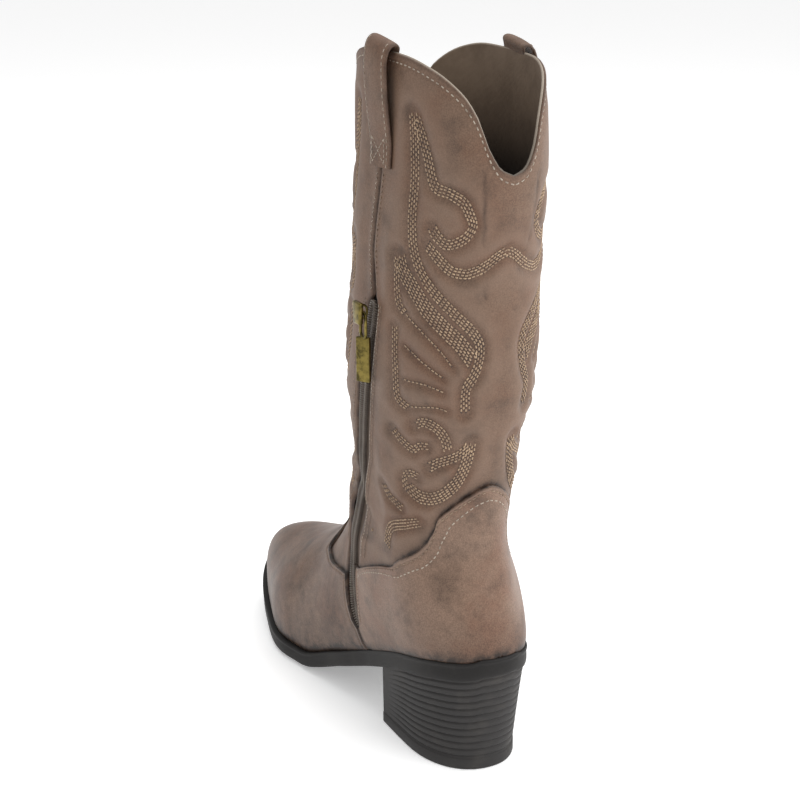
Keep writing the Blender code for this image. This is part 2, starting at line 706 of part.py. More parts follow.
def pull_mesh():
    """Return the pull tab hanging from its hinge axis: a long loop over a flat bar."""
    loop_width, loop_length = PULL_LOOP
    width, length, thick = PULL_TAB
    half, bar = loop_width / 2, PULL_BAR
    outer = [(-half, -loop_length), (-half, -1.0), (-half + 1.8, bar / 2), (half - 1.8, bar / 2),
             (half, -1.0), (half, -loop_length)]
    inner = [(half - bar, -loop_length + bar), (half - bar, -1.6), (half - bar - 0.8, -bar / 2),
             (-half + bar + 0.8, -bar / 2), (-half + bar, -1.6), (-half + bar, -loop_length + bar)]
    mesh = bmesh.new()
    rims = []
    for depth in (-bar / 2, bar / 2):
        rims.append([[mesh.verts.new((x, depth, z)) for x, z in line] for line in (outer, inner[::-1])])
    for near, far in zip(rims[0], rims[1]):
        for index in range(len(near)):
            after = (index + 1) % len(near)
            mesh.faces.new((near[index], near[after], far[after], far[index]))
    for rim in rims:
        out, hole = rim
        for index in range(len(out)):
            after = (index + 1) % len(out)
            mesh.faces.new((out[index], out[after], hole[after], hole[index]))
    bmesh.ops.recalc_face_normals(mesh, faces=mesh.faces)
    bar_mesh = bmesh.new()
    block(bar_mesh, (width, thick, length), (0, 0, -loop_length + 0.8 - length / 2))
    bmesh.ops.bevel(bar_mesh, geom=bar_mesh.edges[:], offset=0.4, segments=1, affect="EDGES", profile=0.5)
    turn = Matrix.Rotation(math.radians(PULL_TWIST), 3, "Z")
    bmesh.ops.rotate(bar_mesh, cent=(0, 0, 0), matrix=turn, verts=bar_mesh.verts)
    return mesh, bar_mesh


def finish(name, colour, roughness, metallic=0.0):
    """Return a material with a plain colour."""
    material = bpy.data.materials.new(name)
    material.use_nodes = True
    shader = material.node_tree.nodes["Principled BSDF"]
    shader.inputs["Base Color"].default_value = (*colour, 1.0)
    shader.inputs["Roughness"].default_value = roughness
    shader.inputs["Metallic"].default_value = metallic
    return material


def add_object(name, mesh, parent, material=None):
    """Put a millimetre mesh into the scene as an object in metres under a parent."""
    bmesh.ops.scale(mesh, vec=(MM, MM, MM), verts=mesh.verts)
    data = bpy.data.meshes.new(name)
    mesh.to_mesh(data)
    mesh.free()
    obj = bpy.data.objects.new(name, data)
    bpy.context.scene.collection.objects.link(obj)
    obj.parent = parent
    if material is not None:
        data.materials.append(material)
        data.shade_smooth()
        data.set_sharp_from_angle(angle=math.radians(35))
    return obj


def add_cutter(name, mesh, parent):
    """Put a cutting form into the scene, hidden from the render."""
    cutter = add_object(name, mesh, parent)
    cutter.hide_render = True
    cutter.display_type = "WIRE"
    return cutter


def cut(obj, cutter, operation):
    """Cut one object with another."""
    modifier = obj.modifiers.new(operation.lower(), "BOOLEAN")
    modifier.operation = operation
    modifier.solver = "EXACT"
    modifier.object = cutter


def add_upper(skin, parent):
    """Build the upper, its overlays and the zip that fills its slit."""
    leather = finish("upper_leather", (0.20, 0.14, 0.105), 0.55)
    slit = add_cutter("zip_slit", prism(zip_outline(0.0), *INSIDE), parent)
    upper = add_object("upper", skin.shell(-WALL, 0.0), parent, leather)
    cut(upper, slit, "DIFFERENCE")
    regions = (("vamp", vamp_skin().shell(-1.6, 2.6, skirt=FORM_REACH), -1, (0.19, 0.135, 0.10)),
               ("heel_counter", prism(counter_outline(), -BALL_WIDTH, BALL_WIDTH), 1, (0.185, 0.13, 0.098)))
    for name, region, toward, colour in regions:
        form = add_cutter(name + "_form", region, parent)
        leather = finish(name + "_leather", colour, 0.55)
        overlay = add_object(name, skin.shell(GAP, GAP + OVERLAY), parent, leather)
        cut(overlay, form, "INTERSECT")
        beyond = add_cutter(name + "_beside_zip", prism(beside_zip(toward), *INSIDE), parent)
        cut(overlay, beyond, "DIFFERENCE")
        if name == "heel_counter":
            peak = prism(counter_peak(), -HIGH, INSTEP_HEIGHT / 2, from_behind=True)
            cut(overlay, add_cutter("counter_peak", peak, parent), "DIFFERENCE")
    layers = (("zip_tape", TAPE_DEPTH, zip_outline(GAP), (0.09, 0.065, 0.05), 0.9),
              ("zip_coil", COIL_DEPTH, zip_outline(GAP, COIL_HALF), (0.13, 0.12, 0.11), 0.5))
    for name, depth, outline, colour, roughness in layers:
        strip = add_object(name, skin.shell(*depth), parent, finish(name + "_finish", colour, roughness))
        cut(strip, add_cutter(name + "_outline", prism(outline, *INSIDE), parent), "INTERSECT")


def add_zip_hardware(parent):
    """Build the slider at the top of the zip, and the pull tab on its hinge."""
    brass = (0.30, 0.24, 0.07)
    spot, normal, along, up = skin_frame(SLIDER_GIRTH, SLIDER_HEIGHT)
    away = SLIDER_LIFT + SLIDER_SIZE[2] + BAIL_CLEAR / 2
    place = (spot + normal * away) * MM
    turn = Matrix((Vector(along), Vector(normal), Vector(up))).transposed().to_4x4()
    slider = add_object("zip_slider", slider_mesh(), parent, finish("slider_brass", brass, 0.4, 1.0))
    bail = add_cutter("zip_bail", bail_mesh(), parent)
    for obj in (slider, bail):
        obj.matrix_local = Matrix.Translation(place) @ turn
    cut(slider, bail, "UNION")
    out = Vector((normal[0], normal[1], 0)).normalized()
    level = Matrix((Vector(along), out, Vector((0, 0, 1)))).transposed().to_4x4()
    loop, bar = pull_mesh()
    pull = add_object("zip_pull", loop, parent, finish("pull_brass", brass, 0.35, 1.0))
    tab = add_cutter("zip_pull_bar", bar, parent)
    for obj in (pull, tab):
        obj.matrix_local = Matrix.Translation(place) @ level
    cut(pull, tab, "UNION")


def add_straps(parent):
    """Build the two pull straps over the collar."""
    for name, side in (("pull_strap_medial", -1), ("pull_strap_lateral", 1)):
        add_object(name, strap_mesh(side), parent, finish(name + "_leather", (0.19, 0.135, 0.10), 0.55))


def add_bottom(skin, parent):
    """Build the insole, the outsole, the heel and its top lift."""
    loop = feather_loop(skin)
    rubber = (0.035, 0.031, 0.029)
    lining = finish("insole_lining", (0.12, 0.095, 0.065), 0.85)
    add_object("insole", ring_stack(insole_rings(loop)), parent, lining)
    edge = [sole_ring(loop, row) for row in SOLE_EDGE]
    add_object("outsole", ring_stack(edge), parent, finish("outsole_rubber", rubber, 0.6))
    heel = heel_rings(loop)
    add_object("heel", ring_stack(heel), parent, finish("heel_stack", rubber, 0.6))
    add_object("top_lift", ring_stack(lift_rings(heel[-1])), parent, finish("lift_rubber", rubber, 0.65))


def centre_on_origin(root):
    """Move the empty so that the middle of the boot's box stands over the origin."""
    bpy.context.view_layer.update()
    graph = bpy.context.evaluated_depsgraph_get()
    places = []
    for obj in root.children:
        if obj.hide_render:
            continue
        seen = obj.evaluated_get(graph)
        places.extend(seen.matrix_world @ vertex.co for vertex in seen.data.vertices)
    low = [min(place[axis] for place in places) for axis in range(2)]
    high = [max(place[axis] for place in places) for axis in range(2)]
    root.location = (-(low[0] + high[0]) / 2, -(low[1] + high[1]) / 2, 0)


def main():
    """Clear the scene and build the boot."""
    for obj in list(bpy.data.objects):
        bpy.data.objects.remove(obj)
    root = bpy.data.objects.new("boot", None)
    bpy.context.scene.collection.objects.link(root)
    skin = boot_skin()
    add_upper(skin, root)
    add_straps(root)
    add_bottom(skin, root)
    add_zip_hardware(root)
    centre_on_origin(root)


main()
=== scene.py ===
"""Heeled western boot for the right foot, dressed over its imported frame.

Lengths are millimetres in the frame of the boot's last: Y runs from the back of the heel seat to the
toe, Z rises from the floor and the inside of the foot is at -X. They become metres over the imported
frame's origin where a mesh is made. A girth position is 0 on the front line, 0.5 at the widest point
of a side and 1 at the feather line or the back line, and it is negative on the inside of the foot.
"""
import json
import logging
import math
from dataclasses import dataclass, field
from enum import Enum
from typing import NamedTuple, Sequence

import bpy
import numpy as np
from mathutils import Matrix, Vector


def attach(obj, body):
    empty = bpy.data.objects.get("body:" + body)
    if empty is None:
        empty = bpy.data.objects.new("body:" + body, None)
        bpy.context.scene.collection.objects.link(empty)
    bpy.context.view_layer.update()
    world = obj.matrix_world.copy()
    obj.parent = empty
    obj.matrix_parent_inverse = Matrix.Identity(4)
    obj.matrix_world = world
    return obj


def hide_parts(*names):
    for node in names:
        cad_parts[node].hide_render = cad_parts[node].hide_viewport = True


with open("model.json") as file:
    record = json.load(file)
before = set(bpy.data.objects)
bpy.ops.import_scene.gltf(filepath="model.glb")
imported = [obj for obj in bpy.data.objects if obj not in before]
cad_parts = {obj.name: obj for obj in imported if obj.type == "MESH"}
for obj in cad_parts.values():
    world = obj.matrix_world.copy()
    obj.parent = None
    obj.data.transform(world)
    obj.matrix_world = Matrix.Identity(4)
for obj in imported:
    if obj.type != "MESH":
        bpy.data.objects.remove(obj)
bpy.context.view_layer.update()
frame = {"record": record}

LOG = logging.getLogger("boot")
MM = 0.001
WELD = 0.004
ORIGIN = np.array([0.922, -125.997, 0.0])
Array = np.ndarray
Colour = tuple[float, float, float]


class Body(Enum):
    """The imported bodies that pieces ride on."""

    BOOT = "boot"
    PULL = "pull"


class Side(Enum):
    """The two sides of the foot, as signs of X."""

    INSIDE = -1
    OUTSIDE = 1


def unit(vectors: Array) -> Array:
    """Return vectors at length one."""
    return vectors / np.maximum(np.linalg.norm(vectors, axis=-1, keepdims=True), 1e-9)


def slopes(values: Array) -> Array:
    """Return the slope of each column at each row, flat where a column turns."""
    steps = np.diff(values, axis=0)
    before, after = steps[:-1], steps[1:]
    same = before * after > 0
    total = np.where(same, before + after, 1.0)
    middle = np.where(same, 2 * before * after / total, 0.0)
    return np.vstack([steps[:1], middle, steps[-1:]])


def smooth_line(points: Sequence, steps: int) -> Array:
    """Return a smooth line through points.

    Args:
        points: the rows that the line passes through.
        steps: how many steps each span gets.

    Returns:
        The line's points, with the last one.
    """
    rows = np.asarray(points, float)
    before = np.vstack([2 * rows[0] - rows[1], rows[:-1]])
    after = np.vstack([rows[1:], 2 * rows[-1] - rows[-2]])
    bends = (after - before) / 2
    far = np.linspace(0, 1, steps, endpoint=False)[None, :, None]
    near = 1 - far
    first = rows[:-1, None] * (1 + 2 * far) + bends[:-1, None] * far
    last = rows[1:, None] * (1 + 2 * near) - bends[1:, None] * near
    line = (first * near * near + last * far * far).reshape(-1, rows.shape[1])
    return np.vstack([line, rows[-1:]])


def eased_table(table: Sequence, at: Array) -> Array:
    """Return a two-column table's value at places between its rows, without overshoot."""
    rows = np.asarray(table, float)
    runs = np.diff(rows[:, 0])
    rates = np.diff(rows[:, 1]) / runs
    before, after = rates[:-1], rates[1:]
    total = np.where(before + after == 0, 1, before + after)
    middle = np.where(before * after > 0, 2 * before * after / total, 0)
    bends = np.concatenate([rates[:1], middle, rates[-1:]])
    row = np.clip(np.searchsorted(rows[:, 0], at, side="right") - 1, 0, len(rows) - 2)
    far = np.clip((at - rows[row, 0]) / runs[row], 0, 1)
    near = 1 - far
    first = rows[row, 1] * (1 + 2 * far) + bends[row] * runs[row] * far
    last = rows[row + 1, 1] * (1 + 2 * near) - bends[row + 1] * runs[row] * near
    return first * near * near + last * far * far


def hump(distance: Array, width: float) -> Array:
    """Return a soft bump of height one at distance zero."""
    return np.exp(-np.square(distance / width))


def steps_between(low: float, high: float, fine: float, coarse: float, anchors: Sequence[float]) -> Array:
    """Return places from low to high that stand closer together near the anchors."""
    places = [low]
    while places[-1] < high:
        near = min(abs(places[-1] - anchor) for anchor in anchors)
        places.append(places[-1] + min(coarse, fine + 0.22 * near))
    return low + (np.array(places) - low) * (high - low) / (places[-1] - low)


class Section(NamedTuple):
    """One section of the boot, from its top or front line to its bottom or back line."""

    name: str
    top_y: float
    top_z: float
    low_y: float
    low_z: float
    medial: float
    lateral: float
    edge_medial: float
    edge_lateral: float
    widest: float
    top_power: float
    low_power: float
    back_run: float
    centre_x: float


@dataclass
class Last:
    """The boot's outer form: the shaped last with its shaft, as fan sections."""

    length: float = 254.0
    ball: float = 42.0
    seat: float = 32.5
    instep: float = 125.0
    heel_seat: float = 65.0
    collar_top: float = 353.0
    collar_back: float = 51.5
    collar_front: float = 46.0
    collar_outside: float = 4.0
    toe_plan: tuple[float, float] = (90.0, 1.5)
    toe_rise: tuple[float, float] = (55.0, 2.8)
    collar_edge: Sequence = ((0, 1.0), (5, 0.945), (10, 0.775), (15, 0.485), (20, 0.31), (30, 0.125),
                             (40, 0.03), (50, 0.0))
    values: Array = field(init=False)

    def __post_init__(self) -> None:
        """Lay out the sections and the lines of the back and the seat."""
        rows = self.sections()
        self.stations = {row.name: float(index) for index, row in enumerate(rows)}
        self.values = np.array([row[1:] for row in rows], float)
        self.bends = slopes(self.values)
        self.top_station = len(rows) - 1.0
        heel = self.stations["seat_back"]
        back = self.section_at(np.linspace(heel, self.top_station, 241))
        seat = self.section_at(np.linspace(heel, 0, 121))
        self.back_y, self.back_z = back[2], back[3]
        self.seat_y, self.seat_z = seat[2], seat[3]

    def sections(self) -> list[Section]:
        """Return the sections from the toe to the top of the leg."""
        toe, ball, seat, rise = self.length, self.ball, self.seat, self.instep
        return [
            Section("toe_tip", toe, 48, toe, 25.5,
                    0.92 * ball, 0.96 * ball, 0.90 * ball, 0.94 * ball, 0.30, 2.2, 2.2, 40, -7),
            Section("toe_box", toe - 20, 53, toe - 20, 20,
                    0.92 * ball, 0.96 * ball, 0.90 * ball, 0.94 * ball, 0.30, 2.2, 2.2, 40, -6),
            Section("toe_back", toe - 48, 58.5, toe - 48, 13.6,
                    0.94 * ball, 0.98 * ball, 0.91 * ball, 0.95 * ball, 0.28, 2.1, 2.2, 40, -4),
            Section("tread", toe - 77, 68, toe - 77, 11,
                    ball, 1.04 * ball, 0.95 * ball, 1.02 * ball, 0.26, 1.9, 2.2, 40, -2),
            Section("ball", toe - 101, 82, toe - 103, 11.1,
                    0.96 * ball, 1.03 * ball, 0.89 * ball, 0.95 * ball, 0.25, 1.8, 2.2, 40, 0),
            Section("waist", toe - 120, 102, toe - 135, 23,
                    0.89 * ball, 0.96 * ball, 0.77 * ball, 0.84 * ball, 0.30, 1.7, 2.2, 40, 1),
            Section("arch", toe - 129, rise, toe - 173, 39.5,
                    1.07 * seat, 1.03 * seat, 0.90 * seat, 0.88 * seat, 0.35, 1.75, 2.2, 40, 1),
            Section("seat_front", 127, rise + 22, 47, 53,
                    1.08 * seat, 0.97 * seat, 0.88 * seat, 0.82 * seat, 0.40, 1.9, 2.2, 40, 0),
            Section("seat_middle", 125.5, rise + 36, 20, 60.5,
                    1.08 * seat, 0.94 * seat, 0.88 * seat, 0.81 * seat, 0.44, 2.0, 2.2, 40, 0),
            Section("seat_back", 124, rise + 48, 0, self.heel_seat,
                    1.09 * seat, 0.86 * seat, 0.90 * seat, 0.82 * seat, 0.47, 2.1, 2.2, 42, 0),
            Section("counter", 124, rise + 57, 5.5, 88,
                    1.12 * seat, 0.76 * seat, 1.06 * seat, 0.74 * seat, 0.48, 2.1, 2.2, 46, 0),
            Section("ankle_low", 124, 190, 14, 118, 37, 24.5, 37, 24.5, 0.49, 2.1, 2.2, 52, 0),
            Section("ankle", 123.5, 201, 13, 142, 38.5, 31.5, 38.5, 31.5, 0.50, 2.1, 2.1, 55, 0),
            Section("ankle_top", 122, 213, 9, 168, 39.5, 34.5, 39.5, 34.5, 0.50, 2.1, 2.1, 56, 0),
            Section("leg_low", 120, 228, 2, 204, 40, 38, 40, 38, 0.50, 2.1, 2.1, 56, 0.3),
            Section("leg_middle", 115, 260, 1, 254, 40, 40, 40, 40, 0.50, 2.1, 2.1, 58, 0.6),
            Section("leg_high", 116.5, 310, -7, 310, 36.5, 37, 36.5, 37, 0.50, 2.1, 2.1, 64, 0.7),
            Section("leg_top", 125, 380, -3.5, 380, 33, 37.5, 33, 37.5, 0.50, 2.1, 2.1, 66, 0.7),
        ]

    def section_at(self, station: Array) -> Array:
        """Return the sections' columns at a station between the rows."""
        row = np.clip(np.floor(station).astype(int), 0, len(self.values) - 2)
        far = (station - row)[..., None]
        near = 1 - far
        first = self.values[row] * (1 + 2 * far) + self.bends[row] * far
        last = self.values[row + 1] * (1 + 2 * near) - self.bends[row + 1] * near
        return np.moveaxis(first * near * near + last * far * far, -1, 0)

    @staticmethod
    def end_round(distance: Array, run: Array, power: Array) -> Array:
        """Return a factor that is 0 at an end of the last and 1 from a run inside it."""
        inside = np.clip(1 - distance / run, 0, 1)
        return (1 - inside ** power) ** (1 / power)

    def point(self, station: Array, girth: Array) -> Array:
        """Return points of the outer skin at stations and girth positions."""
        station, girth = np.broadcast_arrays(np.asarray(station, float), np.asarray(girth, float))
        (top_y, top_z, low_y, low_z, medial, lateral, edge_medial, edge_lateral, widest,
         top_power, low_power, back_run, centre_x) = self.section_at(station)
        plan = self.end_round(self.length - top_y, *self.toe_plan)
        rise = self.end_round(self.length - top_y, *self.toe_rise)
        inside = girth < 0
        half = np.where(inside, medial, lateral) * plan
        edge = np.where(inside, edge_medial, edge_lateral) * plan
        across = np.abs(girth)
        above = (1 - np.clip(across / 0.5, 0, 1)) * math.pi / 2
        turn = np.clip((across - 0.5) / 0.5, 0, 1)
        drop = np.sin(turn * math.pi / 2) ** (2 / low_power)
        rounded = widest + (1 - widest) * np.sin(above) ** (2 / top_power)
        level = np.where(across <= 0.5, rounded, widest * (1 - drop))
        y = low_y + (top_y - low_y) * level
        z = low_z + (top_z - low_z) * rise * level
        wall = edge + (half - edge) * np.sqrt(np.clip(1 - drop * drop, 0, 1))
        away = np.maximum(y - np.interp(z, self.back_z, self.back_y), 0)
        behind = self.end_round(away, back_run, low_power)
        behind = np.where((across >= 1) & (station >= self.stations["seat_back"]), 0.0, behind)
        x = np.where(across <= 0.5, half * np.abs(np.cos(above)) ** (2 / top_power), wall * behind)
        return np.stack([np.where(inside, -x, x) + centre_x, y, z], -1)

    def station_at(self, girth: Array, height: Array) -> Array:
        """Return the station at which each girth position reaches a height, behind the ball."""
        girth, height = np.broadcast_arrays(np.asarray(girth, float), np.asarray(height, float))
        low = np.full(girth.shape, self.stations["ball"])
        high = np.full(girth.shape, self.top_station)
        for _ in range(20):
            middle = (low + high) / 2
            under = self.point(middle, girth)[..., 2] < height
            low = np.where(under, middle, low)
            high = np.where(under, high, middle)
        return (low + high) / 2

    def spot(self, girth: Array, height: Array) -> Array:
        """Return points of the skin at girth positions and heights."""
        return self.point(self.station_at(girth, height), girth)

    def spot_frame(self, girth: Array, height: Array) -> tuple[Array, Array]:
        """Return points of the skin with their outward normals."""
        girth = np.asarray(girth, float)
        inner = np.clip(girth, -0.996, 0.996)
        along = self.spot(inner + 0.004, height) - self.spot(inner - 0.004, height)
        upward = self.spot(inner, np.asarray(height) + 0.8) - self.spot(inner, np.asarray(height) - 0.8)
        return self.spot(girth, height), unit(np.cross(upward, along))

    def girth_at(self, side: Side, height: Array, distance: Array) -> Array:
        """Return the girth position on a side at heights and distances from the heel's back."""
        height, distance = np.broadcast_arrays(np.asarray(height, float), np.asarray(distance, float))
        low = np.full(height.shape, 0.05)
        high = np.full(height.shape, 0.95)
        for _ in range(18):
            middle = (low + high) / 2
            ahead = self.spot(side.value * middle, height)[..., 1] > distance
            low = np.where(ahead, middle, low)
            high = np.where(ahead, high, middle)
        return side.value * (low + high) / 2

    def collar_height(self, girth: Array) -> Array:
        """Return the height of the scalloped collar."""
        across = np.abs(np.asarray(girth, float))
        fall = eased_table(self.collar_edge, 100 * np.where(across > 0.5, 1 - across, across))
        lower = self.collar_outside * hump(np.asarray(girth, float) - 0.53, 0.16)
        return self.collar_top - lower - fall * np.where(across > 0.5, self.collar_back, self.collar_front)

    def seat_height(self, y: Array) -> Array:
        """Return the height of the last's bottom, carried straight on past the toe."""
        slope = (self.seat_z[-1] - self.seat_z[-4]) / (self.seat_y[-1] - self.seat_y[-4])
        return np.interp(y, self.seat_y, self.seat_z) + np.maximum(y - self.seat_y[-1], 0) * slope

    def feather_loop(self, steps: int) -> Array:
        """Return the feather line: the toe, the inside to the heel's back, the outside to the toe."""
        heel = self.stations["seat_back"]
        part = np.linspace(0, 1, steps + 1)
        stations = heel * np.where(part < 0.5, 2 * part ** 2, 1 - 2 * (1 - part) ** 2)
        inside = self.point(stations, -1.0)
        outside = self.point(stations, 1.0)
        return np.concatenate([inside, outside[1:-1][::-1]])


def grid_normals(points: Array) -> Array:
    """Return the outward normals of a grid whose columns run from the inside over the front."""
    across = np.gradient(points, axis=1)
    along = np.gradient(points, axis=0)
    return unit(np.cross(along, across))


def grid_faces(rows: int, columns: int, wrap: bool = False) -> Array:
    """Return the four corners of each cell of a grid, as seen from outside."""
    index = np.arange(rows * columns).reshape(rows, columns)
    if wrap:
        index = np.hstack([index, index[:, :1]])
    corners = (index[:-1, :-1], index[1:, :-1], index[1:, 1:], index[:-1, 1:])
    return np.stack(corners, -1).reshape(-1, 4)


def along_line(points: Array, pitch: float, start: float = 0.0) -> tuple[Array, Array]:
    """Return evenly spaced places on a line of rows, and the line's direction at each."""
    run = np.linalg.norm(np.diff(points[:, :3], axis=0), axis=1)
    length = np.concatenate([[0], np.cumsum(run)])
    spots = np.arange(start, length[-1] - 0.3 * pitch, pitch)

    def at(where: Array) -> Array:
        """Return the line's rows at lengths along it."""
        return np.column_stack([np.interp(where, length, column) for column in points.T])

    ahead = at(np.minimum(spots + 0.4 * pitch, length[-1])) - at(np.maximum(spots - 0.4 * pitch, 0))
    return at(spots), unit(ahead[:, :3])


@dataclass
class Piece:
    """A mesh in the making: points in millimetres, faces and marks for the finish."""

    name: str
    slot: str
    material: bpy.types.Material
    body: Body = Body.BOOT
    points: list[Array] = field(default_factory=list)
    faces: list[Array] = field(default_factory=list)
    marks: dict[str, list[Array]] = field(default_factory=dict)

    def add_grid(self, points: Array, wrap: bool = False, flip: bool = False, **marks: Array) -> None:
        """Add a grid of points.

        Args:
            points: rows by columns by three.
            wrap: whether the last column joins the first.
            flip: whether the faces look the other way.
            marks: values at the points, by name.
        """
        faces = grid_faces(points.shape[0], points.shape[1], wrap)
        self.add(points.reshape(-1, 3), faces[:, ::-1] if flip else faces,
                 **{name: np.broadcast_to(value, points.shape[:2]).ravel() for name, value in marks.items()})

    def add(self, points: Array, faces: Array, **marks: Array) -> None:
        """Add points and the faces between them, with marks at the points."""
        start = sum(len(part) for part in self.points)
        self.points.append(points)
        self.faces.append(np.asarray(faces) + start)
        for name, value in marks.items():
            self.marks.setdefault(name, []).append(np.broadcast_to(value, len(points)))

    def build(self, replaces: Sequence[str] = (), weld: float = 0.0,
              angle: float = 180.0) -> bpy.types.Object:
        """Make the object, dress it and put it on its body.

        Args:
            replaces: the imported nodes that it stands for.
            weld: how close points are merged, in millimetres.
            angle: edges sharper than this stay sharp, in degrees.

        Returns:
            The finished object.
        """
        mesh = bpy.data.meshes.new(self.name)
        corners = [face.tolist() for part in self.faces for face in part]
        mesh.from_pydata((np.concatenate(self.points) + ORIGIN) * MM, [], corners)
        for name, values in self.marks.items():
            layer = mesh.attributes.new(name, "FLOAT", "POINT")
            layer.data.foreach_set("value", np.concatenate(values).astype(np.float32))
        obj = bpy.data.objects.new(self.name, mesh)
        bpy.context.scene.collection.objects.link(obj)
        return finish_piece(obj, self.material, self.body, replaces, weld, angle)


def choose(obj: bpy.types.Object) -> None:
    """Select one object alone and make it active."""
    bpy.ops.object.select_all(action="DESELECT")
    obj.select_set(True)
    bpy.context.view_layer.objects.active = obj


def finish_piece(obj: bpy.types.Object, material: bpy.types.Material, body: Body,
                 replaces: Sequence[str] = (), weld: float = 0.0, angle: float = 180.0) -> bpy.types.Object:
    """Weld, smooth and dress an object and put it on its body.

    Args:
        obj: the object, at the origin with its place in its mesh.
        material: its finish.
        body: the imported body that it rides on.
        replaces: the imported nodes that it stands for.
        weld: how close points are merged, in millimetres.
        angle: edges sharper than this stay sharp, in degrees.

    Returns:
        The same object.
    """
    choose(obj)
    if weld:
        bpy.ops.object.mode_set(mode="EDIT")
        bpy.ops.mesh.select_all(action="SELECT")
        bpy.ops.mesh.remove_doubles(threshold=weld * MM)
        bpy.ops.object.mode_set(mode="OBJECT")
    if angle < 180:
        bpy.ops.object.shade_smooth_by_angle(angle=math.radians(angle))
    else:
        bpy.ops.object.shade_smooth()
    obj.data.materials.clear()
    obj.data.materials.append(material)
    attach(obj, body.value)
    if replaces:
        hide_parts(*replaces)
    LOG.info("%s: %d faces", obj.name, len(obj.data.polygons))
    return obj


class Nodes:
    """A small helper that adds and links shader nodes in a tree."""

    def __init__(self, tree: bpy.types.NodeTree) -> None:
        """Keep the tree."""
        self.tree = tree

    def add(self, kind: str, **settings: object) -> bpy.types.Node:
        """Add a node; a setting names a property of the node, or an input where it begins with in_."""
        node = self.tree.nodes.new(kind)
        for name, value in settings.items():
            if name.startswith("in_"):
                node.inputs[name[3:].replace("_", " ")].default_value = value
            else:
                setattr(node, name, value)
        return node

    def link(self, source: bpy.types.NodeSocket, target: bpy.types.NodeSocket) -> None:
        """Join two sockets."""
        self.tree.links.new(source, target)

    def math(self, operation: str, first: object, second: object,
             clamp: bool = False) -> bpy.types.NodeSocket:
        """Return a sum, product or other operation of two sockets or numbers."""
        node = self.add("ShaderNodeMath", operation=operation, use_clamp=clamp)
        for socket, value in zip(node.inputs, (first, second)):
            if isinstance(value, (int, float)):
                socket.default_value = value
            else:
                self.link(value, socket)
        return node.outputs[0]

    def mix(self, part: object, first: object, second: object, blend: str = "MIX") -> bpy.types.NodeSocket:
        """Return a blend of two colours, each a socket or a colour."""
        node = self.add("ShaderNodeMix", data_type="RGBA", blend_type=blend)
        for socket, value in zip((node.inputs[0], node.inputs[6], node.inputs[7]), (part, first, second)):
            if isinstance(value, bpy.types.NodeSocket):
                self.link(value, socket)
            else:
                socket.default_value = (*value, 1.0) if isinstance(value, tuple) else value
        return node.outputs[2]

    def noise(self, place: bpy.types.NodeSocket, scale: object, detail: float = 4.0,
              rough: float = 0.55) -> bpy.types.NodeSocket:
        """Return a cloudy value over a place."""
        node = self.add("ShaderNodeTexNoise", in_Detail=detail, in_Roughness=rough)
        self.link(place, node.inputs["Vector"])
        if isinstance(scale, bpy.types.NodeSocket):
            self.link(scale, node.inputs["Scale"])
        else:
            node.inputs["Scale"].default_value = scale
        return node.outputs["Fac"]

    def band(self, value: bpy.types.NodeSocket, low: float, high: float) -> bpy.types.NodeSocket:
        """Return a value stretched so that low becomes 0 and high 1, with soft ends."""
        node = self.add("ShaderNodeMapRange", interpolation_type="SMOOTHSTEP",
                        in_From_Min=low, in_From_Max=high)
        self.link(value, node.inputs["Value"])
        return node.outputs["Result"]

    def place(self) -> bpy.types.NodeSocket:
        """Return the object's own coordinates."""
        return self.add("ShaderNodeTexCoord").outputs["Object"]

    def mark(self, name: str) -> bpy.types.NodeSocket:
        """Return a mark kept at the mesh's points."""
        return self.add("ShaderNodeAttribute", attribute_name=name).outputs["Fac"]


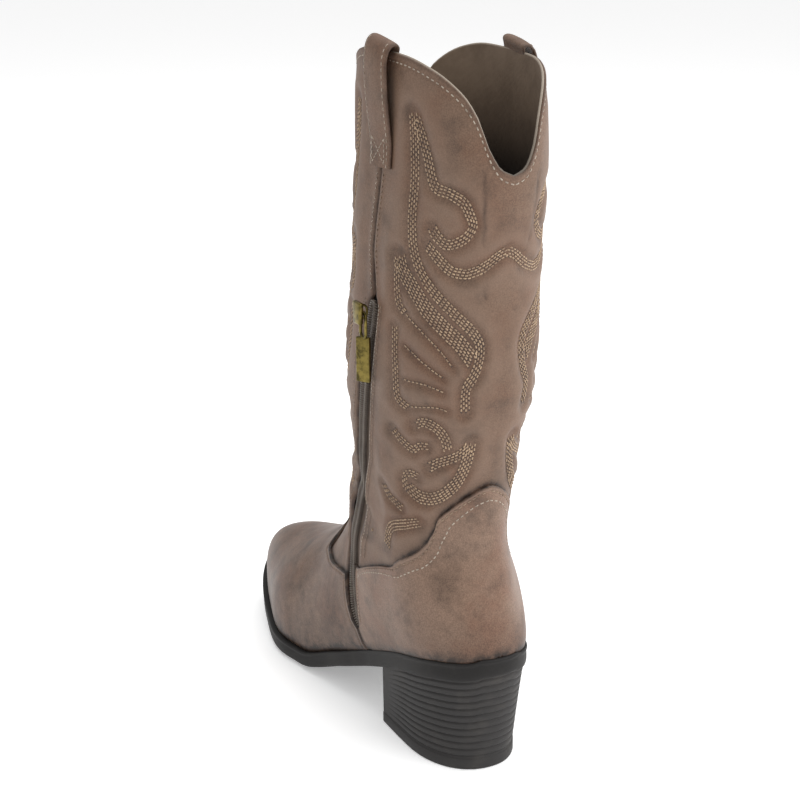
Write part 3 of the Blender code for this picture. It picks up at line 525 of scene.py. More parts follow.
class Effects:
    """Shader groups that several finishes share, each built once."""

    @staticmethod
    def _group(name: str, inputs: Sequence[tuple],
               outputs: Sequence[tuple]) -> tuple[bpy.types.NodeTree, Nodes]:
        """Return an empty group with sockets of the given names, types and starting values."""
        tree = bpy.data.node_groups.new(name, "ShaderNodeTree")
        for label, kind, value in inputs:
            socket = tree.interface.new_socket(label, in_out="INPUT", socket_type=kind)
            socket.default_value = value
        for label, kind in outputs:
            tree.interface.new_socket(label, in_out="OUTPUT", socket_type=kind)
        return tree, Nodes(tree)

    @classmethod
    def aged_tone(cls) -> bpy.types.NodeTree:
        """Return the group that clouds a leather's colour, as pull-up leather shows it."""
        name = "aged_tone"
        if name in bpy.data.node_groups:
            return bpy.data.node_groups[name]
        colour, value = "NodeSocketColor", "NodeSocketFloat"
        grey = (0.2, 0.2, 0.2, 1.0)
        tones = (("Base", colour, grey), ("Warm", colour, grey), ("Dusk", colour, grey),
                 ("Cloud", value, 30.0))
        tree, nodes = cls._group(name, tones, (("Color", colour), ("Cloud", value)))
        inputs = nodes.add("NodeGroupInput")
        output = nodes.add("NodeGroupOutput")
        place = nodes.place()
        cloud = nodes.noise(place, inputs.outputs["Cloud"], 5.0, 0.6)
        warm = nodes.band(cloud, 0.42, 0.66)
        patch = nodes.noise(place, nodes.math("MULTIPLY", inputs.outputs["Cloud"], 2.3), 6.0, 0.65)
        dusk = nodes.math("MULTIPLY", nodes.band(patch, 0.45, 0.74), 0.66)
        speck = nodes.band(nodes.noise(place, 1500.0, 3.0, 0.7), 0.3, 0.72)
        tone = nodes.mix(warm, inputs.outputs["Base"], inputs.outputs["Warm"])
        tone = nodes.mix(dusk, tone, inputs.outputs["Dusk"])
        fleck = nodes.mix(speck, (0.70, 0.68, 0.67), (1.24, 1.23, 1.22))
        tone = nodes.mix(1.0, tone, fleck, "MULTIPLY")
        nodes.link(tone, output.inputs["Color"])
        nodes.link(cloud, output.inputs["Cloud"])
        return tree

    @classmethod
    def hide_grain(cls) -> bpy.types.NodeTree:
        """Return the group that gives the height of a hide's pebbled grain and fine creases."""
        name = "hide_grain"
        if name in bpy.data.node_groups:
            return bpy.data.node_groups[name]
        value = "NodeSocketFloat"
        tree, nodes = cls._group(name, (("Grain", value, 1100.0),), (("Height", value),))
        inputs = nodes.add("NodeGroupInput")
        output = nodes.add("NodeGroupOutput")
        place = nodes.place()
        cells = nodes.add("ShaderNodeTexVoronoi", feature="SMOOTH_F1")
        nodes.link(place, cells.inputs["Vector"])
        nodes.link(inputs.outputs["Grain"], cells.inputs["Scale"])
        soft = nodes.noise(place, nodes.math("MULTIPLY", inputs.outputs["Grain"], 0.22), 4.0, 0.6)
        pebble = nodes.math("MULTIPLY", cells.outputs["Distance"], -0.6)
        nodes.link(nodes.math("ADD", pebble, soft), output.inputs["Height"])
        return tree


class Finish:
    """Base of the finishes: makes a material with its Principled shader and a node helper."""

    name: str = "finish"

    def start(self) -> tuple[bpy.types.Material, Nodes, bpy.types.Node]:
        """Return a new material, its helper and its shader."""
        material = bpy.data.materials.new(self.name)
        material.use_nodes = True
        return material, Nodes(material.node_tree), material.node_tree.nodes["Principled BSDF"]

    @staticmethod
    def bump(nodes: Nodes, shader: bpy.types.Node, height: bpy.types.NodeSocket, depth: float,
             strength: float = 1.0) -> None:
        """Give the shader a bump of a depth in millimetres."""
        node = nodes.add("ShaderNodeBump", in_Strength=strength, in_Distance=depth * MM)
        nodes.link(height, node.inputs["Height"])
        nodes.link(node.outputs["Normal"], shader.inputs["Normal"])


@dataclass(frozen=True)
class Leather(Finish):
    """Worn brown leather, clouded, with painted shade, darker edges and a painted highlight where the marks
    say so.
    """

    name: str = "leather"
    base: Colour = (0.158, 0.098, 0.066)
    warm: Colour = (0.140, 0.076, 0.047)
    dusk: Colour = (0.060, 0.038, 0.026)
    # Colours mixed in by the marks: a dark one for painted shade and darker edges, a pale one for a painted
    # highlight.
    shade_and_edge_dark: Colour = (0.022, 0.013, 0.009)
    bloom: Colour = (0.205, 0.136, 0.098)
    cloud: float = 30.0
    grain: float = 1100.0
    depth: float = 0.16
    roughness: float = 0.55
    coat: float = 0.06

    def build(self) -> bpy.types.Material:
        """Return the material."""
        material, nodes, shader = self.start()
        tone = nodes.add("ShaderNodeGroup", node_tree=Effects.aged_tone())
        for label, colour in (("Base", self.base), ("Warm", self.warm), ("Dusk", self.dusk)):
            tone.inputs[label].default_value = (*colour, 1.0)
        tone.inputs["Cloud"].default_value = self.cloud
        place = nodes.place()
        ragged = nodes.band(nodes.noise(place, 160.0, 5.0, 0.7), 0.25, 0.75)
        # Painted highlight: a pale colour mixed in where the mark says the leather stands up.
        highlight_share = nodes.math("MULTIPLY", nodes.mark("bloom"), 0.75)
        colour = nodes.mix(highlight_share, tone.outputs["Color"], self.bloom)
        # Painted shade and darker edges: a dark colour mixed in where the mark says, broken up by noise.
        edge = nodes.math("MULTIPLY", nodes.mark("burnish"), nodes.math("ADD", ragged, 0.45), clamp=True)
        colour = nodes.mix(edge, colour, self.shade_and_edge_dark)
        nodes.link(colour, shader.inputs["Base Color"])
        grain = nodes.add("ShaderNodeGroup", node_tree=Effects.hide_grain())
        grain.inputs["Grain"].default_value = self.grain
        self.bump(nodes, shader, grain.outputs["Height"], self.depth, 0.8)
        wear_and_shade = nodes.math("MULTIPLY", tone.outputs["Cloud"], 0.22)
        nodes.link(nodes.math("ADD", wear_and_shade, self.roughness - 0.11), shader.inputs["Roughness"])
        shader.inputs["Coat Weight"].default_value = self.coat
        shader.inputs["Coat Roughness"].default_value = 0.38
        shader.inputs["Specular IOR Level"].default_value = 0.28
        return material


@dataclass(frozen=True)
class Thread(Finish):
    """Twisted sewing thread."""

    name: str = "thread"
    colour: Colour = (0.42, 0.295, 0.19)
    shade: Colour = (0.23, 0.152, 0.10)

    def build(self) -> bpy.types.Material:
        """Return the material."""
        material, nodes, shader = self.start()
        place = nodes.place()
        tint = nodes.noise(place, 420.0, 2.0)
        twist = nodes.noise(place, 5200.0, 1.0)
        colour = nodes.mix(nodes.band(tint, 0.35, 0.7), self.colour, self.shade)
        nodes.link(colour, shader.inputs["Base Color"])
        shader.inputs["Roughness"].default_value = 0.6
        self.bump(nodes, shader, twist, 0.06)
        return material


@dataclass(frozen=True)
class Rubber(Finish):
    """Moulded charcoal rubber with a satin face and a little dust."""

    name: str = "rubber"
    colour: Colour = (0.030, 0.028, 0.0275)
    dust: Colour = (0.046, 0.042, 0.039)
    roughness: float = 0.58

    def build(self) -> bpy.types.Material:
        """Return the material."""
        material, nodes, shader = self.start()
        place = nodes.place()
        cloud = nodes.noise(place, 60.0, 5.0, 0.65)
        colour = nodes.mix(nodes.band(cloud, 0.45, 0.75), self.colour, self.dust)
        nodes.link(colour, shader.inputs["Base Color"])
        nodes.link(nodes.math("ADD", nodes.math("MULTIPLY", cloud, 0.2), self.roughness - 0.1),
                   shader.inputs["Roughness"])
        self.bump(nodes, shader, nodes.noise(place, 2600.0, 3.0), 0.05, 0.6)
        shader.inputs["Specular IOR Level"].default_value = 0.22
        return material


@dataclass(frozen=True)
class Brass(Finish):
    """Aged brass, clouded darker in patches."""

    name: str = "brass"
    colour: Colour = (0.20, 0.155, 0.045)
    dark: Colour = (0.055, 0.045, 0.016)
    roughness: float = 0.30

    def build(self) -> bpy.types.Material:
        """Return the material."""
        material, nodes, shader = self.start()
        place = nodes.place()
        cloud = nodes.noise(place, 300.0, 5.0, 0.65)
        colour = nodes.mix(nodes.band(cloud, 0.38, 0.7), self.colour, self.dark)
        nodes.link(colour, shader.inputs["Base Color"])
        shader.inputs["Metallic"].default_value = 1.0
        nodes.link(nodes.math("ADD", nodes.math("MULTIPLY", cloud, 0.25), self.roughness - 0.1),
                   shader.inputs["Roughness"])
        self.bump(nodes, shader, nodes.noise(place, 1800.0, 3.0), 0.03, 0.5)
        return material


@dataclass(frozen=True)
class Cloth(Finish):
    """Plain fabric or lining with a fine weave; a mark of edge pales it, and below a height it can be painted
    dark as shade inside the boot.
    """

    name: str = "lining"
    colour: Colour = (0.185, 0.128, 0.084)
    shade: Colour = (0.135, 0.091, 0.058)
    pale: Colour = (0.30, 0.25, 0.20)
    weave: float = 1700.0
    depth: float = 0.05
    roughness: float = 0.75
    # Height in metres below which the colour is painted dark as shade inside the boot, and that dark colour.
    shaded_below: float = 0.0
    dark: Colour = (0.008, 0.005, 0.0035)

    def build(self) -> bpy.types.Material:
        """Return the material."""
        material, nodes, shader = self.start()
        place = nodes.place()
        cloud = nodes.band(nodes.noise(place, 45.0, 5.0, 0.65), 0.35, 0.7)
        colour = nodes.mix(cloud, self.colour, self.shade)
        colour = nodes.mix(nodes.mark("edge"), colour, self.pale)
        # Painted shade: below the height the colour turns dark, as the inside of the boot lies in shade.
        if self.shaded_below:
            split = nodes.add("ShaderNodeSeparateXYZ")
            nodes.link(place, split.inputs["Vector"])
            lit = nodes.band(split.outputs["Z"], self.shaded_below - 0.025, self.shaded_below + 0.03)
            colour = nodes.mix(lit, self.dark, colour)
        nodes.link(colour, shader.inputs["Base Color"])
        nodes.link(nodes.math("ADD", nodes.math("MULTIPLY", cloud, 0.1), self.roughness - 0.05),
                   shader.inputs["Roughness"])
        waves = nodes.add("ShaderNodeTexWave", in_Scale=self.weave / 3, in_Distortion=1.5,
                          bands_direction="Z")
        nodes.link(place, waves.inputs["Vector"])
        fine = nodes.noise(place, self.weave, 2.0)
        self.bump(nodes, shader, nodes.math("ADD", waves.outputs["Fac"], fine), self.depth, 0.7)
        return material


@dataclass
class Finishes:
    """The boot's finishes, built once."""

    shaft: bpy.types.Material = field(default_factory=lambda: Leather("shaft_leather").build())
    overlay: bpy.types.Material = field(default_factory=lambda: Leather(
        "overlay_leather", base=(0.202, 0.129, 0.090), warm=(0.172, 0.094, 0.061), cloud=26.0,
        roughness=0.46, coat=0.14).build())
    strap: bpy.types.Material = field(default_factory=lambda: Leather("strap_leather", cloud=40.0).build())
    tan_thread: bpy.types.Material = field(default_factory=lambda: Thread("tan_thread").build())
    pale_thread: bpy.types.Material = field(default_factory=lambda: Thread(
        "pale_thread", (0.42, 0.355, 0.285), (0.22, 0.175, 0.135)).build())
    brown_thread: bpy.types.Material = field(default_factory=lambda: Thread(
        "brown_thread", (0.27, 0.19, 0.13), (0.12, 0.08, 0.054)).build())
    # Dark discs at the needle holes: painted shade for the holes.
    needle_hole_shade: bpy.types.Material = field(default_factory=lambda: Thread(
        "needle_hole_shade", (0.055, 0.032, 0.022), (0.035, 0.020, 0.014)).build())
    sole: bpy.types.Material = field(default_factory=lambda: Rubber(
        "sole_rubber", (0.012, 0.0108, 0.0102), (0.022, 0.020, 0.0185)).build())
    heel: bpy.types.Material = field(default_factory=lambda: Rubber("heel_rubber").build())
    brass: bpy.types.Material = field(default_factory=lambda: Brass("zip_brass").build())
    # The lining and insole are painted dark below this height as shade inside the boot.
    lining: bpy.types.Material = field(default_factory=lambda: Cloth(
        "lining_leather", shaded_below=0.305).build())
    tape: bpy.types.Material = field(default_factory=lambda: Cloth(
        "zip_tape", (0.105, 0.074, 0.054), (0.078, 0.055, 0.041), weave=2600.0, roughness=0.85).build())
    coil: bpy.types.Material = field(default_factory=lambda: Cloth(
        "zip_coil", (0.150, 0.120, 0.095), (0.085, 0.067, 0.052), weave=900.0, roughness=0.45).build())


@dataclass(frozen=True)
class Stitch:
    """One stitch: a short twist of thread that dives into the leather at both ends."""

    length: float = 2.4
    width: float = 0.62
    rise: float = 0.34

    def shape(self) -> tuple[Array, Array]:
        """Return the stitch's points about its middle (along, across, up) and its faces."""
        rings = ((-0.5, 0.35, -0.5), (-0.26, 0.95, 0.5), (0.26, 0.95, 0.5), (0.5, 0.35, -0.5))
        turns = np.linspace(0, 2 * math.pi, 6, endpoint=False)
        points = []
        for along, size, lift in rings:
            for turn in turns:
                points.append((along * self.length, math.cos(turn) * size * self.width / 2,
                               (math.sin(turn) * size * 0.55 + lift) * self.rise))
        faces = [face[::-1] for face in grid_faces(len(rings), 6, wrap=True).tolist()]
        return np.array(points), np.array(faces)

    def sew(self, piece: Piece, centres: Array, along: Array, normals: Array) -> None:
        """Add a stitch to a piece at each centre.

        Args:
            piece: the piece that takes the stitches.
            centres: the stitches' middles on the leather.
            along: their directions.
            normals: the leather's normals there.
        """
        if not len(centres):
            return
        shape, faces = self.shape()
        side = unit(np.cross(normals, along))
        along = unit(np.cross(side, normals))
        spread = (shape[None, :, 0, None] * along[:, None] + shape[None, :, 1, None] * side[:, None]
                  + shape[None, :, 2, None] * normals[:, None])
        points = centres[:, None] + spread
        starts = np.arange(len(centres))[:, None, None] * len(shape)
        piece.add(points.reshape(-1, 3), (faces[None] + starts).reshape(-1, 4))


class Band(NamedTuple):
    """A band of embroidery on a quarter of the shaft.

    Its path gives the girth from the back or the front line in hundredths, and the height.
    """

    name: str
    rows: int
    path: Sequence[tuple[float, float]]


@dataclass
class Quilting:
    """The embroidery's layout and the puffed leather between its bands."""

    girth_scale: float = 1.65
    row_gap: float = 1.4
    puff: float = 1.5
    bands: Sequence[Band] = (
        Band("leaf", 4, ((36.5, 328), (36, 318), (35, 300), (34.3, 282), (32.5, 268), (29, 256), (24, 247),
                         (18, 239), (12, 231.5), (8.5, 224), (8.5, 216), (10, 209), (12.5, 202), (12, 191))),
        Band("curl", 4, ((35.5, 326), (34, 321), (31, 309), (29, 300), (27, 296), (23, 294.5), (18, 291),
                         (15, 285), (13.5, 280), (15, 275), (18.5, 271.5), (22, 271), (25.5, 275),
                         (27, 278))),
        Band("sweep", 4, ((0, 267.5), (3, 265.5), (8, 260.5), (13, 257.5), (16, 257.5), (19, 258.5),
                          (23, 263), (28, 270))),
        Band("inner_leaf", 6, ((37.5, 262), (36, 256), (33, 250.5), (27, 239.5), (21, 231.5), (15, 224),
                               (10.5, 216))),
        Band("inner_edge", 3, ((37.8, 258), (38, 250), (37, 240), (34, 235))),
        Band("vein_high", 1, ((34, 235), (28, 228), (22, 220.5), (17, 212.5))),
        Band("vein_middle", 1, ((34, 220), (28, 214), (20, 207))),
        Band("vein_low", 1, ((20, 200.5), (24, 202), (28, 203), (34, 203))),
        Band("vein_foot", 1, ((18, 191), (21, 192), (25, 191.5), (31, 190))),
        Band("edge_low", 3, ((38, 228), (37.5, 213), (36.5, 202), (35, 193), (31, 189.5))),
        Band("scroll", 4, ((16, 170), (17, 175), (19, 179.5), (22, 182.5), (25, 183.5), (28, 181.5))),
        Band("patch", 4, ((9, 172), (13, 167), (19, 163), (22, 160))),
        Band("scroll_end", 3, ((23, 171), (26, 170.5), (28, 168), (32, 171), (36, 176))),
        Band("foot_curl", 5, ((8.5, 174), (9, 167), (10, 160), (12, 153.5), (15, 148.5), (18.5, 145),
                              (22, 143.5), (26, 144), (30, 147.5))),
        Band("patch_low", 3, ((26, 154), (29, 155), (31, 152), (31, 145))),
        Band("tail", 3, ((33, 135), (36, 137), (39, 139), (42, 144))),
        Band("fringe", 4, ((26, 130), (33, 127), (40, 124), (44, 119), (47, 110))),
    )

    def lines(self) -> list[tuple[Band, Array]]:
        """Return each band with its centre line in millimetres along the girth and in height."""
        return [(band, smooth_line(band.path, 5) * (self.girth_scale, 1.0)) for band in self.bands]

    @staticmethod
    def to_line(places: Array, line: Array) -> Array:
        """Return the distance of each place from a line."""
        nearest = np.full(len(places), 1e9)
        for first, second in zip(line[:-1], line[1:]):
            run = second - first
            part = np.clip(((places - first) @ run) / max(run @ run, 1e-9), 0, 1)
            nearest = np.minimum(nearest, np.linalg.norm(places - first - part[:, None] * run, axis=1))
        return nearest

    def relief(self, girth: Array, height: Array) -> Array:
        """Return how far the leather stands up at girth positions and heights."""
        across = np.abs(girth)
        from_line = 100 * np.minimum(across, 1 - across)
        places = np.column_stack([from_line.ravel() * self.girth_scale, height.ravel()])
        away = np.full(len(places), 60.0)
        for band, line in self.lines():
            half = (band.rows - 1) * self.row_gap / 2 + 0.5
            away = np.minimum(away, np.maximum(self.to_line(places, line) - half, 0))
        rise = (1 - hump(away, 2.6)) * (0.35 + 0.65 * hump(away, 11.0))
        return (self.puff * rise).reshape(girth.shape)


@dataclass
class ZipPath:
    """The slit for the zip on the inside: height, distance from the heel's back and half width."""

    last: Last
    seam_girth: float = -0.512
    top: float = 240.0
    rows: Sequence = ((240, 54.0, 0.0), (238, 54.5, 2.0), (234, 55.5, 4.2), (205, 63, 5.5), (170, 71, 7.0),
                      (140, 80, 8.0), (115, 88, 8.5), (95, 93, 8.5), (75, 95, 7.0), (60, 93.5, 5.0),
                      (52, 91.0, 3.2), (49, 89.5, 0.3), (40, 85.5, 0.2), (30, 82.5, 0.2))

    def __post_init__(self) -> None:
        """Find the girth positions of the slit's two edges over the height."""
        table = np.array(self.rows, float)[::-1]
        self.heights = np.linspace(44, 300, 257)
        self.distance = eased_table(table[:, :2], self.heights)
        self.half = np.interp(self.heights, table[:, 0], table[:, 2])
        clear = self.heights < self.top
        edges = []
        for sign in (1, -1):
            found = self.last.girth_at(Side.INSIDE, self.heights, self.distance + sign * self.half)
            seam = np.interp(self.heights, (self.top, 260), (found[clear][-1], self.seam_girth))
            edges.append(np.where(clear, found, seam))
        self.front, self.back = edges

    def edges(self, height: Array) -> tuple[Array, Array]:
        """Return the girth positions of the slit's front and back edges at heights."""
        return np.interp(height, self.heights, self.front), np.interp(height, self.heights, self.back)

    def side_line(self, height: Array, sign: int) -> Array:
        """Return the distance from the heel's back of the slit's front (1) or back (-1) edge."""
        table = np.array(self.rows, float)[::-1]
        middle = np.interp(height, table[:, 0], eased_table(table[:, :2], table[:, 0]))
        return middle + sign * np.interp(height, table[:, 0], table[:, 2])


class Crease(NamedTuple):
    """A listed fold: two ends as girth and height, width and rise in millimetres."""

    girth: float
    height: float
    end_girth: float
    end_height: float
    width: float
    rise: float


@dataclass
class Overlays:
    """The vamp and the heel counter, laid over the upper."""

    last: Last
    slit: ZipPath
    gap: float = 0.3
    thick: float = 1.2
    columns: int = 150
    vamp_rim: float = 0.42
    # Painted shade: share of the dark colour laid over the whole vamp.
    vamp_painted_shade: float = 0.34
    zip_girth: float = -0.435
    split_girth: float = 0.47
    counter_front: float = 5.92
    heel_row: int = 39
    turn_in: float = 0.5
    skirt: float = 1.1
    vamp_edge: Sequence = ((0.00, 8.2), (0.05, 8.0), (0.09, 7.3), (0.125, 6.3), (0.155, 5.35), (0.18, 4.76),
                           (0.205, 4.50), (0.235, 4.48), (0.265, 4.64), (0.30, 4.87), (0.337, 5.12),
                           (0.387, 5.50), (0.435, 5.83), (0.50, 5.89), (1.00, 5.89))
    counter_edge: Sequence = ((0.44, 84.5), (0.47, 85.5), (0.50, 87.0), (0.546, 97.6), (0.576, 105.0),
                              (0.61, 108.2), (0.655, 111.4), (0.715, 115.8), (0.77, 121.3), (0.80, 127.0),
                              (0.815, 134.0), (0.86, 139.8), (0.91, 145.0), (0.96, 149.0), (0.99, 150.4),
                              (1.00, 150.6))

    def meets_slit(self, girth: Array, sign: int) -> Array:
        """Return the station at which each inside girth position reaches an edge of the slit."""
        stations = np.linspace(4.6, 7.6, 301)
        reached = []
        for position in girth:
            line = self.last.point(stations, position)
            ahead = line[:, 1] - self.slit.side_line(line[:, 2], sign)
            past = np.nonzero(ahead < 0)[0]
            reached.append(stations[past[0]] if len(past) else stations[-1])
        return np.array(reached)

    def vamp_top(self, girth: Array) -> Array:
        """Return the station of the vamp's edge at girth positions."""
        edge = eased_table(self.vamp_edge, np.abs(girth))
        near = girth < self.zip_girth
        edge[near] = self.meets_slit(girth[near], 1)
        return edge

    def vamp_height(self, girth: Array) -> Array:
        """Return the height of the vamp's edge at girth positions."""
        girth = np.atleast_1d(girth)
        return self.last.point(eased_table(self.vamp_edge, np.abs(girth)), girth)[..., 2]

    def counter_height(self, girth: Array) -> Array:
        """Return the height of the counter's top edge at girth positions."""
        return np.interp(np.abs(girth), *np.array(self.counter_edge).T)

    def covered(self, girth: Array) -> Array:
        """Return the height up to which the overlays cover the upper."""
        return np.where(np.abs(girth) < self.split_girth, self.vamp_height(girth), self.counter_height(girth))

    def lay_flat(self, normals: Array, skin: Array, column: int, rows: slice) -> None:
        """Lay the normals of a column's rows, along the feather line, in the sole's plane."""
        y = skin[rows, column, 1]
        fall = self.last.seat_height(y - 9) - self.last.seat_height(y + 9)
        up = unit(np.column_stack([np.zeros_like(y), fall, np.full_like(y, 18.0)]))
        own = normals[rows, column]
        normals[rows, column] = unit(own - up * (own * up).sum(1)[:, None])

    def layered(self, skin: Array, normals: Array, from_edge: Array) -> Array:
        """Return an overlay's outer face, rolled at its edge and drawn in by its stitches."""
        roll = np.sqrt(np.clip(1 - np.square(np.clip(1 - from_edge / 0.9, 0, 1)), 0, 1))
        depth = self.gap + self.thick * (0.2 + 0.8 * roll)
        depth = depth - 0.30 * hump(from_edge - 3.0, 0.9) + 0.22 * hump(from_edge - 1.3, 0.9)
        return skin + normals * depth[..., None]

    def tone(self, skin: Array, from_edge: Array, wear_and_shade: float) -> dict[str, Array]:
        """Return the marks of an overlay: darker towards the sole and along its edge, with a given share of
        painted shade over the whole piece and a painted highlight on its rolled edge.
        """
        above = skin[..., 2] - self.last.seat_height(skin[..., 1])
        # Darker towards the sole and along the edge, plus the given share of painted shade over the whole
        # piece.
        burnish = wear_and_shade + 0.75 * hump(above, 3.5) + 0.30 * hump(above, 15.0) + 0.85 * hump(from_edge, 1.0)
        # Painted highlight on the ridge of the rolled edge.
        bloom = 0.55 * hump(from_edge - 1.6, 1.0)
        return {"burnish": np.clip(burnish, 0, 1), "bloom": np.clip(bloom, 0, 1)}

    def build_vamp(self, finishes: Finishes) -> tuple[Array, Array, Array]:
        """Build the vamp.

        Args:
            finishes: the boot's finishes.

        Returns:
            The grid's points, its normals and each point's distance from the top edge.
        """
        girth = np.linspace(-1, 1, self.columns + 1)
        edge = self.vamp_top(girth)
        toe = np.linspace(0, 1, 110)[:, None] ** 2 * (edge - self.vamp_rim)
        rim = edge - self.vamp_rim + np.linspace(0, 1, 25)[1:, None] * self.vamp_rim
        stations = np.vstack([toe, rim])
        skin = self.last.point(stations, girth[None])
        normals = grid_normals(skin)
        normals[0] = (0, 1, 0)
        for column in (0, -1):
            self.lay_flat(normals, skin, column, slice(1, None))
        run = np.linalg.norm(np.diff(skin, axis=0), axis=2)
        from_edge = np.vstack([np.cumsum(run[::-1], axis=0)[::-1], np.zeros((1, run.shape[1]))])
        points = self.layered(skin, normals, from_edge)
        # The whole vamp gets its painted shade here.
        marks = self.tone(skin, from_edge, self.vamp_painted_shade)
        closing = skin[-1:] - normals[-1:] * self.turn_in
        points = np.concatenate([points, closing])
        marks = {name: np.vstack([value, value[-1:]]) for name, value in marks.items()}
        low = np.array([0, 0, -self.skirt])
        points = np.concatenate([points[:, :1] + low, points, points[:, -1:] + low], axis=1)
        marks = {name: np.pad(value, ((0, 0), (1, 1)), mode="edge") for name, value in marks.items()}
        piece = Piece("vamp_leather", "overlay_leather", finishes.overlay)
        piece.add_grid(points, **marks)
        piece.build(("vamp",), weld=WELD)
        return points[:-1, 1:-1], normals, from_edge

    def counter_rows(self, side: Side) -> tuple[Array, Array]:
        """Return the girth positions of one half of the counter and its stations."""
        inside = side is Side.INSIDE
        across = np.linspace(0.455 if inside else 0.5, 1.0, 76)
        girth = side.value * across
        top = self.last.station_at(girth, self.counter_height(girth))
        if inside:
            start = np.minimum(self.meets_slit(girth, -1), top - 0.002)
        else:
            rise = np.clip((0.6 - across) / 0.1, 0, 1)
            start = self.counter_front + (top - 0.002 - self.counter_front) * rise
        heel = self.last.stations["seat_back"]
        part = (heel - start[-1]) / (top[-1] - start[-1])
        middle = start + (top - start) * part
        lower = start + np.linspace(0, 1, self.heel_row + 1)[:, None] * (middle - start)
        upper = middle + (1 - (1 - np.linspace(0, 1, 60)[1:, None]) ** 1.5) * (top - middle)
        stations = np.vstack([lower, upper])
        if inside:
            girth, stations = girth[::-1], stations[:, ::-1]
        return girth, stations

    def build_counter(self, finishes: Finishes) -> None:
        """Build the heel counter from its two halves, joined along the back line."""
        halves = []
        for side in (Side.OUTSIDE, Side.INSIDE):
            girth, stations = self.counter_rows(side)
            skin = self.last.point(stations, girth[None])
            normals = grid_normals(skin)
            column = -1 if side is Side.OUTSIDE else 0
            self.lay_flat(normals, skin, column, slice(0, self.heel_row))
            halves.append((skin, normals))
        above = slice(self.heel_row, None)
        back = unit(halves[0][1][above, -1] + halves[1][1][above, 0])
        back[:, 0] = 0
        halves[0][1][above, -1] = unit(back)
        halves[1][1][above, 0] = unit(back)
        piece = Piece("counter_leather", "overlay_leather", finishes.overlay)
        for (skin, normals), side in zip(halves, (Side.OUTSIDE, Side.INSIDE)):
            run = np.linalg.norm(np.diff(skin, axis=0), axis=2)
            top = np.vstack([np.cumsum(run[::-1], axis=0)[::-1], np.zeros((1, run.shape[1]))])
            front = np.vstack([np.zeros((1, run.shape[1])), np.cumsum(run, axis=0)])
            from_edge = np.minimum(top, front + 0.25)
            points = self.layered(skin, normals, from_edge)
            marks = self.tone(skin, from_edge, 0.0)
            ends = [skin[row] - normals[row] * self.turn_in for row in (slice(0, 1), slice(-1, None))]
            points = np.concatenate([ends[0], points, ends[1]])
            marks = {name: np.pad(value, ((1, 1), (0, 0)), mode="edge") for name, value in marks.items()}
            outer = -1 if side is Side.OUTSIDE else 0
            low = points[:, outer].copy()
            low[: self.heel_row + 1, 2] -= self.skirt
            skirt = low[:, None]
            order = (points, skirt) if side is Side.OUTSIDE else (skirt, points)
            pads = (0, 1) if side is Side.OUTSIDE else (1, 0)
            marks = {name: np.pad(value, ((0, 0), pads), mode="edge") for name, value in marks.items()}
            piece.add_grid(np.concatenate(order, axis=1), **marks)
        piece.build(("heel_counter",), weld=WELD)


